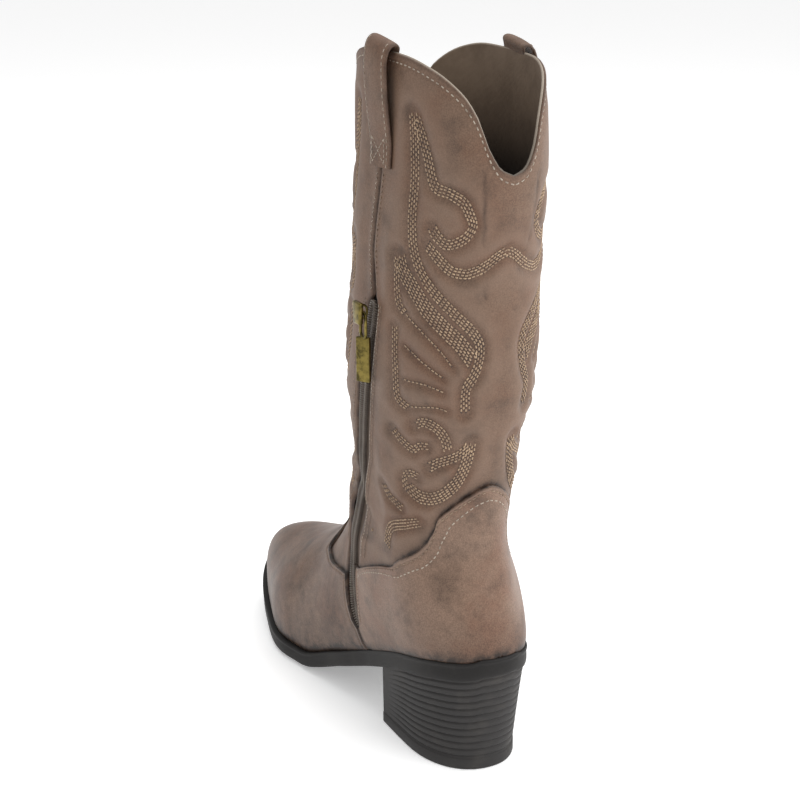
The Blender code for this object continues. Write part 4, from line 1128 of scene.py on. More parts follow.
@dataclass
class Shaft:
    """The shaft's leather: one sheet wrapped from the slit's front edge round to its back edge."""

    last: Last
    slit: ZipPath
    overlays: Overlays
    quilting: Quilting = field(default_factory=Quilting)
    girth_length: float = 170.0
    rows: int = 205
    tuck: float = 8.0
    lowest: float = 55.0
    creases: Sequence[Crease] = (
        Crease(0.885, 303, 0.91, 272, 1.1, -0.35),
        Crease(-0.885, 303, -0.91, 272, 1.1, -0.35),
        Crease(-0.93, 251, -0.93, 246, 1.0, -0.3),
        Crease(-0.22, 196, 0.24, 190, 6.0, 1.3),
        Crease(-0.20, 183, 0.26, 176, 5.0, -1.1),
        Crease(-0.62, 122, -0.86, 152, 6.0, 0.8),
        Crease(0.62, 124, 0.88, 156, 6.0, 0.9),
        Crease(0.45, 172, 0.80, 190, 7.0, 0.9),
        Crease(0.45, 160, 0.82, 172, 6.0, -0.9),
    )
    # How many of the creases, from the first, get painted shade.
    shaded_creases: int = 3
    cover_table: tuple[Array, Array] = field(init=False)

    def __post_init__(self) -> None:
        """Make the table of the heights up to which the overlays cover the leather."""
        places = np.linspace(-1, 1, 401)
        self.cover_table = (places, self.overlays.covered(places))

    def relief(self, girth: Array, height: Array) -> Array:
        """Return how far the leather stands off the last, away from its sewn edges."""
        collar = self.last.collar_height(girth) - height
        cover = height - self.covered(girth)
        calm = np.clip((collar - 5) / 9, 0, 1) * np.clip((cover - 3) / 9, 0, 1)
        seam = np.abs(np.abs(girth) + self.slit.seam_girth) * self.girth_length
        calm = calm * np.clip((seam - 4) / 8, 0, 1)
        total = self.quilting.relief(girth, height) * calm
        for crease in self.creases:
            total = total + self.fold(crease, girth, height)
        return total - 0.3 * hump(collar - 3.0, 0.9)

    def fold(self, crease: Crease, girth: Array, height: Array) -> Array:
        """Return the rise of one fold."""
        places = np.column_stack([girth.ravel() * self.girth_length, height.ravel()])
        line = np.array([(crease.girth * self.girth_length, crease.height),
                         (crease.end_girth * self.girth_length, crease.end_height)])
        return (crease.rise * hump(self.quilting.to_line(places, line), crease.width)).reshape(girth.shape)

    def covered(self, girth: Array) -> Array:
        """Return the height up to which the overlays cover the leather."""
        return np.interp(girth, *self.cover_table)

    def surface(self, girth: Array, height: Array) -> tuple[Array, Array]:
        """Return points on the leather with their normals."""
        points, normals = self.last.spot_frame(girth, height)
        return points + normals * self.relief(girth, height)[..., None], normals

    def wrapped(self, share: Array, height: Array) -> tuple[Array, Array, Array, Array]:
        """Return the sheet's places round the leg.

        Args:
            share: the share of the way from the slit's front edge round to its back edge.
            height: the heights.

        Returns:
            The wound girth, which goes on past 1, the girth position and the slit's two edges.
        """
        front, back = self.slit.edges(height)
        wound = front + share * (2 + back - front)
        return wound, np.where(wound > 1, wound - 2, wound), front, back

    def build(self, finishes: Finishes) -> None:
        """Build the sheet, its rolled edges and its rim at the collar."""
        seam = self.slit.seam_girth
        places = steps_between(seam, 2 + seam, 0.0016, 0.0112, (seam, -seam, 2 + seam))
        nominal = np.where(places > 1, places - 2, places)
        collar = self.last.collar_height(nominal)
        share = (places - seam) / 2
        trial = collar - (collar - self.lowest) * np.linspace(0, 1, 500)[:, None]
        hidden = trial < self.covered(self.wrapped(share, trial)[1]) - self.tuck
        hidden[-1] = True
        bottom = trial[hidden.argmax(axis=0), np.arange(len(places))]
        part = np.linspace(0, 1, self.rows)[:, None]
        height = bottom + (collar - bottom) * part
        wound, girth, front, back = self.wrapped(share, height)
        skin = self.last.spot(girth, height)
        normals = grid_normals(skin)
        to_edge = np.minimum(wound - front, 2 + back - wound) * self.girth_length
        outer_seam = np.abs(wound + seam) * self.girth_length
        roll = np.sqrt(np.clip(1 - np.square(np.clip(1 - to_edge / 1.3, 0, 1)), 0, 1))
        rise = self.relief(girth, height) - 1.4 * (1 - roll) + 0.35 * hump(to_edge - 2.4, 1.4)
        rise += -0.8 * hump(outer_seam, 0.8) + 0.3 * hump(outer_seam - 2.2, 1.3)
        from_collar = self.last.collar_height(girth) - height
        cover = height - self.covered(girth)
        puffed = self.quilting.relief(girth, height) / self.quilting.puff
        # Painted shade just above the overlays' edges, in the side seam's groove and in the hollows between
        # the puffs; darker along the slit's edges and at the collar.
        burnish = (0.85 * hump(cover, 1.8) + 0.16 * hump(cover, 9.0) + 0.7 * hump(to_edge, 1.2)
                   + 0.6 * hump(outer_seam, 1.0) + 0.35 * hump(from_collar, 1.0) + 0.12 * (puffed < 0.12))
        # Painted shade in the first creases.
        for crease in self.creases[:self.shaded_creases]:
            burnish += 0.5 * self.fold(crease, girth, height) / crease.rise
        # Painted highlight on the tops of the puffs, below the collar.
        bloom = 0.9 * puffed ** 2 * (from_collar > 6)
        marks = {"burnish": np.clip(burnish, 0, 1), "bloom": np.clip(bloom, 0, 1)}
        points = skin + normals * rise[..., None]
        rim = [points]
        for lift, depth in ((0.45, -0.25), (0.6, -0.7), (0.3, -1.1), (-2.5, -1.2)):
            rim.append(skin[-1:] + normals[-1:] * depth + np.array([0, 0, lift]))
        marks = {name: np.pad(value, ((0, 4), (0, 0)), mode="edge") for name, value in marks.items()}
        piece = Piece("shaft_leather", "upper_leather", finishes.shaft)
        piece.add_grid(np.concatenate(rim), **marks)
        piece.build(("upper",), weld=WELD)


@dataclass
class Lining:
    """The lining inside the upper, with its pale turned edge at the collar, and the insole."""

    last: Last
    wall: float = 2.2
    columns: int = 96
    insole_inset: float = 3.4
    insole_margin: float = 3.0
    insole_thick: float = 1.9

    def foot_stations(self, toe: int, middle: int, seat: int) -> Array:
        """Return stations from the toe to the heel, closer together at both ends."""
        heel = self.last.stations["seat_back"]
        return np.concatenate([3 * np.linspace(0, 1, toe) ** 2, np.linspace(3, 8, middle)[1:],
                               8 + (heel - 8) * np.sin(np.linspace(0, math.pi / 2, seat)[1:])])

    def build(self, finishes: Finishes) -> None:
        """Build the lining and the insole."""
        girth = np.linspace(-1, 1, self.columns + 1)
        heel = self.last.stations["seat_back"]
        collar = self.last.station_at(girth, self.last.collar_height(girth))
        foot = self.foot_stations(18, 26, 10)
        leg = heel + np.linspace(0, 1, 70)[1:, None] * (collar - heel)
        stations = np.vstack([np.repeat(foot[:, None], len(girth), axis=1), leg])
        skin = self.last.point(stations, girth[None])
        normals = grid_normals(skin)
        normals[0] = (0, 1, 0)
        back = unit(normals[len(foot):, 0] + normals[len(foot):, -1])
        normals[len(foot):, 0] = back
        normals[len(foot):, -1] = back
        rows = [skin - normals * self.wall]
        for lift, depth in ((0.55, 2.15), (0.95, 1.75), (0.85, 1.25), (0.3, 0.95), (-1.5, 0.95)):
            rows.append(skin[-1:] - normals[-1:] * depth + np.array([0, 0, lift]))
        edge = np.zeros((len(skin) + 5, len(girth)))
        edge[-5:] = 1.0
        piece = Piece("shaft_lining", "insole_lining", finishes.lining)
        piece.add_grid(np.concatenate(rows), flip=True, edge=edge)
        piece.build(weld=WELD)
        self.build_insole(finishes)

    def build_insole(self, finishes: Finishes) -> None:
        """Build the insole's sheet, a little hollow across the foot."""
        stations = self.foot_stations(24, 30, 16)
        sides = [self.last.point(stations, sign * 1.0) for sign in (-1, 1)]
        across = np.linspace(0, 1, 15)
        inset = 1 - self.insole_inset / np.maximum(np.abs(sides[1][:, :1] - sides[0][:, :1]), 8.0) * 2
        middle = (sides[0] + sides[1]) / 2
        part = (across * 2 - 1)[None, :, None]
        sheet = middle[:, None] + (sides[1] - sides[0])[:, None] / 2 * part * inset[:, :, None]
        margin, length = self.insole_margin, self.last.length
        sheet[..., 1] = margin + sheet[..., 1] * (length - 2 * margin) / length
        sheet[..., 2] = self.last.seat_height(sheet[..., 1]) + 2.0 + 1.0 * np.square(part[..., 0])
        under = sheet - np.array([0, 0, self.insole_thick])
        piece = Piece("insole_sheet", "insole_lining", finishes.lining)
        piece.add_grid(np.concatenate([under[:, :1], sheet, under[:, -1:]], axis=1), edge=0.0)
        piece.build(("insole",), weld=WELD)


@dataclass
class Embroidery:
    """The stitched bands on the four quarters of the shaft, with dark discs at their needle holes as painted
    shade.
    """

    shaft: Shaft
    pitch: float = 2.35
    stitch: Stitch = Stitch(1.85, 0.80, 0.40)
    single: Stitch = Stitch(1.85, 0.70, 0.38)
    clear: float = 0.035
    above_cover: float = 5.0
    unevenness: float = 0.09
    hole: tuple[float, float] = (0.40, 0.48)
    hole_corners: int = 6

    def rows(self) -> list[tuple[Array, Array, bool]]:
        """Return the stitches' middles and directions on a flat quarter, and whether a row stands alone."""
        quilting = self.shaft.quilting
        rng = np.random.default_rng(11)
        rows = []
        for band, line in quilting.lines():
            ahead = unit(np.gradient(line, axis=0))
            aside = np.column_stack([-ahead[:, 1], ahead[:, 0]])
            for index in range(band.rows):
                shift = (index - (band.rows - 1) / 2) * quilting.row_gap
                flat = np.column_stack([line + aside * shift, np.zeros(len(line))])
                start = self.pitch * (0.3 + 0.5 * (index % 2))
                middles, along = along_line(flat, self.pitch, start)
                middles[:, :2] += rng.normal(0, self.unevenness, (len(middles), 2))
                rows.append((middles[:, :2], along[:, :2], band.rows == 1))
        return rows

    def quarter(self, side: Side, front: bool, places: Array) -> tuple[Array, Array]:
        """Return girth positions and heights of flat places on one quarter of the shaft."""
        share = np.maximum(places[:, 0] / self.shaft.quilting.girth_scale / 100, 0.0)
        return side.value * (share if front else 1 - share), places[:, 1]

    def build(self, finishes: Finishes) -> None:
        """Build the stitches and the dark discs at the holes of the back and of the front."""
        turns = np.linspace(0, 2 * math.pi, self.hole_corners, endpoint=False)
        disc = np.array([(math.cos(turn), math.sin(turn)) for turn in turns])
        rows = self.rows()
        for name, front in (("back", False), ("front", True)):
            thread = Piece(f"embroidery_{name}", "upper_leather", finishes.tan_thread)
            holes = Piece(f"needle_hole_shades_{name}", "upper_leather", finishes.needle_hole_shade)
            for side in Side:
                for middles, along, alone in rows:
                    girth, height = self.quarter(side, front, middles)
                    kept = height > self.shaft.covered(girth) + self.above_cover
                    before, behind = self.shaft.slit.edges(height)
                    kept &= (girth > before + self.clear) | (girth < behind - self.clear)
                    if not kept.any():
                        continue
                    ends = [self.quarter(side, front, (middles + along * step)[kept])
                            for step in (-1.0, 1.0)]
                    spots = [self.shaft.surface(*end)[0] for end in ends]
                    centre, normal = self.shaft.surface(girth[kept], height[kept])
                    ahead = unit(spots[1] - spots[0])
                    (self.single if alone else self.stitch).sew(thread, centre, ahead, normal)
                    # A dark disc just above each needle hole stands for the shade in the hole.
                    pits = centre + ahead * self.pitch / 2 + normal * 0.05
                    aside = unit(np.cross(normal, ahead))
                    ring = (pits[:, None] + ahead[:, None] * disc[None, :, :1] * self.hole[0]
                            + aside[:, None] * disc[None, :, 1:] * self.hole[1])
                    faces = np.arange(len(pits) * self.hole_corners).reshape(-1, self.hole_corners)
                    holes.add(ring.reshape(-1, 3), faces)
            thread.build()
            holes.build()


@dataclass
class SeamStitches:
    """The straight stitch rows: collar, overlays, seams and zip edges."""

    last: Last
    shaft: Shaft
    overlays: Overlays
    slit: ZipPath
    stitch: Stitch = Stitch(2.1, 0.72, 0.36)
    fine: Stitch = Stitch(1.6, 0.5, 0.28)
    roll_up: float = 0.38
    from_edge: float = 3.0
    from_collar: float = 3.2
    on_overlay: float = 1.45
    seam_heights: tuple[float, float] = (298, 241)
    zip_heights: tuple[float, float] = (236, 92)
    zip_foot_heights: tuple[float, float] = (86, 54)
    outer_heights: tuple[float, float] = (298, 100)
    counter_low: Sequence = ((0, 142.8), (5, 140.6), (10, 135.6), (14, 130), (16, 124.5), (20, 116),
                             (27, 108.6), (34, 104), (41.5, 97.5), (47, 87.5), (49.5, 79))

    @staticmethod
    def row(piece: Piece, points: Array, normals: Array, pitch: float, stitch: Stitch,
            slant: float = 0.0) -> None:
        """Sew a row of stitches along a line on the leather.

        Args:
            piece: the piece that takes the stitches.
            points: the line.
            normals: the leather's normals along it.
            pitch: the distance from stitch to stitch.
            stitch: the stitch.
            slant: how far each second stitch turns aside, in degrees.
        """
        places, along = along_line(np.hstack([points, normals]), pitch, 0.4 * pitch)
        normal = unit(places[:, 3:])
        aside = np.cross(normal, along)
        turn = np.radians(slant) * np.where(np.arange(len(along)) % 2, 1, -1)[:, None]
        stitch.sew(piece, places[:, :3], along * np.cos(turn) + aside * np.sin(turn), normal)

    def beside_seam(self, girth: Array, height: Array) -> tuple[Array, Array]:
        """Return points beside a seam, where the leather is rolled up, with their normals."""
        points, normals = self.shaft.surface(girth, height)
        return points + normals * self.roll_up, normals

    @staticmethod
    def overlay_line(points: Array, normals: Array, from_edge: Array,
                     distance: float) -> tuple[Array, Array]:
        """Return the line on an overlay that keeps a distance from its edge, with its normals."""
        order = slice(None, None, -1)
        line = []
        for column in range(points.shape[1]):
            away = from_edge[order, column]
            line.append([np.interp(distance, away, grid[order, column, axis])
                         for grid in (points, normals) for axis in range(3)])
        joined = np.array(line)
        return joined[:, :3], unit(joined[:, 3:])

    def build(self, finishes: Finishes, vamp: tuple[Array, Array, Array]) -> None:
        """Build the rows of pale and of brown thread."""
        pale = Piece("pale_stitches", "upper_leather", finishes.pale_thread)
        brown = Piece("brown_stitches", "overlay_leather", finishes.brown_thread)
        girth = np.linspace(-1, 1, 361)
        height = self.last.collar_height(girth) - self.from_collar
        self.row(pale, *self.shaft.surface(girth, height), 3.1, self.stitch)
        points, normals = self.overlay_line(*vamp, self.from_edge)
        girth = np.linspace(-1, 1, len(points))
        shown = (np.abs(girth) < 0.5) | (girth > 0)
        shown &= np.abs(girth) < 0.97
        self.row(brown, points[shown], normals[shown], 2.6, self.fine)
        for side in Side:
            across = np.linspace(0.52, 1.0, 160)
            height = self.overlays.counter_height(across) - self.from_edge
            places, normals = self.last.spot_frame(side.value * across, height)
            self.row(brown, places + normals * 1.25, normals, 2.7, self.stitch)
            low = smooth_line(self.counter_low, 12)
            places, normals = self.last.spot_frame(side.value * (1 - low[:, 0] / 100), low[:, 1])
            self.row(pale, places + normals * self.on_overlay, normals, 2.9, self.stitch)
        self.sew_zip_side(pale, brown)
        pale.build()
        brown.build()

    def sew_zip_side(self, pale: Piece, brown: Piece) -> None:
        """Sew the rows of the two side seams and along the zip.

        Args:
            pale: the piece of pale thread.
            brown: the piece of brown thread.
        """
        height = np.linspace(*self.seam_heights, 60)
        front, back = self.slit.edges(height)
        self.row(pale, *self.beside_seam((front + back) / 2 + 0.012, height), 2.3, self.fine, 35.0)
        self.row(brown, *self.beside_seam((front + back) / 2 - 0.016, height), 2.6, self.fine)
        for away in (0.014, 0.026):
            height = np.linspace(*self.zip_heights, 150)
            front, back = self.slit.edges(height)
            self.row(pale if away < 0.02 else brown, *self.beside_seam(back - away, height), 2.2, self.fine)
            self.row(brown, *self.beside_seam(front + away, height), 2.2, self.fine)
        height = np.linspace(*self.zip_foot_heights, 40)
        _front, back = self.slit.edges(height)
        places, normals = self.last.spot_frame(back - 0.016, height)
        self.row(pale, places + normals * self.on_overlay, normals, 2.2, self.fine)
        height = np.linspace(*self.outer_heights, 190)
        for away in (-0.016, 0.016):
            girth = np.full(height.shape, -self.slit.seam_girth + away)
            self.row(brown, *self.beside_seam(girth, height), 2.6, self.fine)


@dataclass
class Zip:
    """The zip: tape, coil, slider and hinged pull tab."""

    last: Last
    slit: ZipPath
    tooth: Stitch = Stitch(4.1, 0.95, 0.9)
    pitch: float = 1.25
    lean: float = 0.35
    heights: tuple[float, float] = (236, 50)
    reach: tuple[float, float] = (0.9, 2.2)
    slider_size: tuple[float, float, float] = (8.0, 2.4, 11.0)
    slider_depth: float = -2.6
    slider_taper: float = 0.82
    bail: tuple[float, float, float] = (2.5, 0.62, 1.6)
    loop: tuple[float, float, float] = (2.9, 0.8, 7.0)
    tab_size: tuple[float, float, float] = (7.4, 2.2, 22.5)
    tab_drop: float = -23.45
    tab_rim: float = 0.8
    twist: float = 35.0

    def build(self, finishes: Finishes) -> None:
        """Build the soft parts in the slit and the brass parts on it."""
        height = np.linspace(*self.heights, 170)
        front, back = self.slit.edges(height)
        part = np.linspace(-0.08, 1.08, 13)
        girth = front[:, None] + (back - front)[:, None] * part
        points, normals = self.last.spot_frame(girth, np.repeat(height[:, None], len(part), axis=1))
        depth = -1.55 + 0.35 * hump(part - 0.5, 0.3)
        tape = Piece("zip_tape_cloth", "zip_fabric", finishes.tape)
        tape.add_grid(points + normals * depth[None, :, None], edge=0.0)
        tape.build(("zip_tape",))
        coil = Piece("zip_coil_teeth", "zip_plastic", finishes.coil)
        places, normals = self.last.spot_frame((front + back) / 2, height)
        spots, along = along_line(np.hstack([places, normals]), self.pitch)
        normal = unit(spots[:, 3:])
        aside = np.cross(normal, along)
        reach = np.clip(np.interp(spots[:, 2], self.slit.heights, self.slit.half) - 2.4, *self.reach)
        for sign in (-1, 1):
            lean = unit(aside + along * self.lean * sign)
            self.tooth.sew(coil, spots[:, :3] - normal * 0.15 + aside * sign * reach[:, None], lean, normal)
        coil.build(("zip_coil",))
        self.build_brass(finishes)

    @staticmethod
    def hinge() -> Matrix:
        """Return the hinge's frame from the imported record: X along it, Y out of the boot, Z up."""
        joint = frame["record"]["behaviour"]["joints"][0]
        along = -Vector(joint["axis"]).normalized()
        up = Vector((0, 0, 1))
        turn = Matrix((along, up.cross(along), up)).transposed().to_4x4()
        return Matrix.Translation(joint["pos_m"]) @ turn

    @staticmethod
    def stretched_ring(name: str, radius: float, bar: float, stretch: float) -> bpy.types.Object:
        """Return a ring in the XZ plane whose lower half is drawn down, with its top bar at the origin."""
        bpy.ops.object.select_all(action="DESELECT")
        bpy.ops.mesh.primitive_torus_add(major_radius=radius * MM, minor_radius=bar * MM, major_segments=32,
                                         minor_segments=12, rotation=(math.pi / 2, 0, 0))
        ring = bpy.context.active_object
        ring.name = name
        bpy.ops.object.transform_apply(location=True, rotation=True, scale=True)
        for vertex in ring.data.vertices:
            if vertex.co.z < -1e-5:
                vertex.co.z -= stretch * MM
            vertex.co.z -= radius * MM
        return ring

    @staticmethod
    def plate(name: str, size: tuple[float, float, float], centre: tuple[float, float, float],
              round_by: float, rim: float = 0.0) -> bpy.types.Object:
        """Return a rounded plate, with a rim round its outer face where one is asked for.

        Args:
            name: the object's name.
            size: width, thickness and height.
            centre: its middle.
            round_by: radius of its edges.
            rim: width of the rim round its outer face.

        Returns:
            The plate's object.
        """
        bpy.ops.object.select_all(action="DESELECT")
        bpy.ops.mesh.primitive_cube_add(size=1.0)
        plate = bpy.context.active_object
        plate.name = name
        plate.scale = [length * MM for length in size]
        bpy.ops.object.transform_apply(location=True, rotation=True, scale=True)
        if rim:
            bpy.ops.object.mode_set(mode="EDIT")
            bpy.ops.mesh.select_all(action="DESELECT")
            bpy.ops.object.mode_set(mode="OBJECT")
            for face in plate.data.polygons:
                face.select = face.normal.y > 0.9
            bpy.ops.object.mode_set(mode="EDIT")
            bpy.ops.mesh.inset(thickness=rim * MM)
            bpy.ops.transform.translate(value=(0, -0.3 * MM, 0))
            bpy.ops.object.mode_set(mode="OBJECT")
        bevel = plate.modifiers.new("edges", "BEVEL")
        bevel.width = round_by * MM
        bevel.segments = 3
        bpy.ops.object.modifier_apply(modifier=bevel.name)
        plate.data.transform(Matrix.Translation(Vector(centre) * MM))
        return plate

    @staticmethod
    def joined(objects: Sequence[bpy.types.Object], name: str) -> bpy.types.Object:
        """Return several objects joined into the first."""
        choose(objects[0])
        for obj in objects[1:]:
            obj.select_set(True)
        bpy.ops.object.join()
        objects[0].name = name
        return objects[0]

    def build_brass(self, finishes: Finishes) -> None:
        """Build the slider with its bail, and the pull tab with its loop."""
        body = self.plate("slider_body", self.slider_size, (0, self.slider_depth, 0), 0.8)
        for vertex in body.data.vertices:
            if vertex.co.z < -2.0 * MM:
                vertex.co.x *= self.slider_taper
        bail = self.stretched_ring("bail", *self.bail)
        bail.data.transform(Matrix.Translation((0, 0.9 * MM, 3.3 * MM)))
        bail.data.transform(Matrix.Rotation(math.pi / 2, 4, "Z"))
        slider = self.joined((body, bail), "slider")
        loop = self.stretched_ring("pull_loop", *self.loop)
        tab = self.plate("pull_tab_plate", self.tab_size, (0, 0, self.tab_drop), 0.6, self.tab_rim)
        tab.data.transform(Matrix.Rotation(math.radians(self.twist), 4, "Z"))
        pull = self.joined((loop, tab), "pull_tab")
        for obj, body_name, node in ((slider, Body.BOOT, "zip_slider"), (pull, Body.PULL, "zip_pull")):
            obj.data.transform(self.hinge())
            finish_piece(obj, finishes.brass, body_name, (node,), angle=35.0)


@dataclass
class PullStraps:
    """The two leather loops over the collar, sewn down at their feet."""

    last: Last
    width: float = 21.0
    foot_width: float = 19.0
    thick: float = 1.8
    girth: float = 0.515
    lean: float = 0.16
    edge_stitch: Stitch = Stitch(2.0, 0.55, 0.3)
    cross_stitch: Stitch = Stitch(1.9, 0.6, 0.32)
    stitched_rows: int = 46
    path: Sequence = ((-52.0, 1.3), (-43.0, 1.4), (-33.0, 2.7), (-22.0, 4.2), (-11.0, 4.9), (-3.0, 4.7),
                      (1.8, 3.6), (4.4, 1.5), (4.9, -0.7), (3.8, -2.1), (1.0, -1.9), (-4.0, -1.5))

    def frames(self, side: Side, across: Array) -> tuple[Array, Array]:
        """Return the strap's middle surface and its outward direction, along its path and across."""
        path = smooth_line(self.path, 6)
        rise, away = path.T
        collar = self.last.collar_height(side.value * self.girth)
        spot, normal = self.last.spot_frame(np.full(len(path), side.value * self.girth), collar + rise)
        part = np.where(away > 0, np.clip((rise - path[0, 0]) / 40.0, 0, 1), 1.0)
        reach = across[None, :] * (self.foot_width + (self.width - self.foot_width) * part)[:, None]
        lean = self.lean * np.clip(1 + rise / 14.0, 0, 1)
        height = collar + rise[:, None] + lean[:, None] * reach
        skin = self.last.spot(self.last.girth_at(side, height, spot[:, 1:2] + reach), height)
        bends = np.gradient(path, axis=0)
        up = unit(np.cross(normal, np.cross([0.0, 0.0, 1.0], normal)))
        through = unit(normal * bends[:, :1] - up * bends[:, 1:])
        return skin + normal[:, None] * away[:, None, None], np.repeat(through[:, None], len(across), axis=1)

    def build(self, finishes: Finishes) -> None:
        """Build both straps with their stitches."""
        turns = np.linspace(0, 2 * math.pi, 36, endpoint=False)
        across = 0.5 * np.sign(np.cos(turns)) * np.abs(np.cos(turns)) ** 0.3
        lift = 0.5 * np.sign(np.sin(turns)) * np.abs(np.sin(turns)) ** 0.7
        thread = Piece("strap_stitches", "strap_leather", finishes.pale_thread)
        for side, node in ((Side.INSIDE, "pull_strap_medial"), (Side.OUTSIDE, "pull_strap_lateral")):
            middle, through = self.frames(side, across)
            swell = lift * self.thick + 0.35 * (lift > 0) * (1 - np.square(across * 2))
            pinch = 1 - 0.75 * np.clip(np.arange(len(middle)) - len(middle) + 13, 0, 8) / 8
            points = middle + through * swell[None, :, None] * pinch[:, None, None]
            ends = [points.mean(axis=1, keepdims=True)[index] for index in (0, -1)]
            closed = np.concatenate([np.repeat(ends[0][None], len(turns), axis=1), points,
                                     np.repeat(ends[1][None], len(turns), axis=1)])
            edge = np.clip((np.abs(across) - 0.44) * 16, 0, 1)
            # Painted highlight along the shoulders of the strap's face; its cut edges are darker.
            highlight_share = 0.4 * hump(np.abs(across) - 0.36, 0.05)
            marks = {"burnish": 0.55 * edge[None, :], "bloom": highlight_share[None, :]}
            piece = Piece(node + "_loop", "strap_leather", finishes.strap)
            piece.add_grid(closed, wrap=True, flip=side is Side.INSIDE, **marks)
            obj = piece.build((node,), weld=WELD, angle=60.0)
            choose(obj)
            bpy.ops.object.mode_set(mode="EDIT")
            bpy.ops.mesh.select_all(action="SELECT")
            bpy.ops.mesh.normals_make_consistent(inside=False)
            bpy.ops.object.mode_set(mode="OBJECT")
            self.sew(thread, side)
        thread.build()

    def sew(self, thread: Piece, side: Side) -> None:
        """Sew a strap's two edges and the crossed box at its foot.

        Args:
            thread: the piece that takes the stitches.
            side: the side of the foot.
        """
        lines, outward = self.frames(side, np.array([-0.39, 0.39, -0.3, 0.3]))
        top = self.stitched_rows
        for column in (0, 1):
            face = lines[:top, column] + outward[:top, column] * 0.95
            SeamStitches.row(thread, face, outward[:top, column], 2.9, self.edge_stitch)
        corners = [lines[row, column] + outward[row, column] * 1.0
                   for row, column in ((1, 2), (9, 3), (1, 3), (9, 2), (1, 2))]
        for first, second in zip(corners[:-1], corners[1:]):
            line = first + (second - first) * np.linspace(0, 1, 12)[:, None]
            SeamStitches.row(thread, line, np.repeat(outward[5:6, 0], 12, axis=0), 2.4, self.cross_stitch)


class EdgeRow(NamedTuple):
    """One ring of the sole's edge: depth below its top and reach beyond the feather line."""

    seat_depth: float
    seat_reach: float
    tread_depth: float
    tread_reach: float


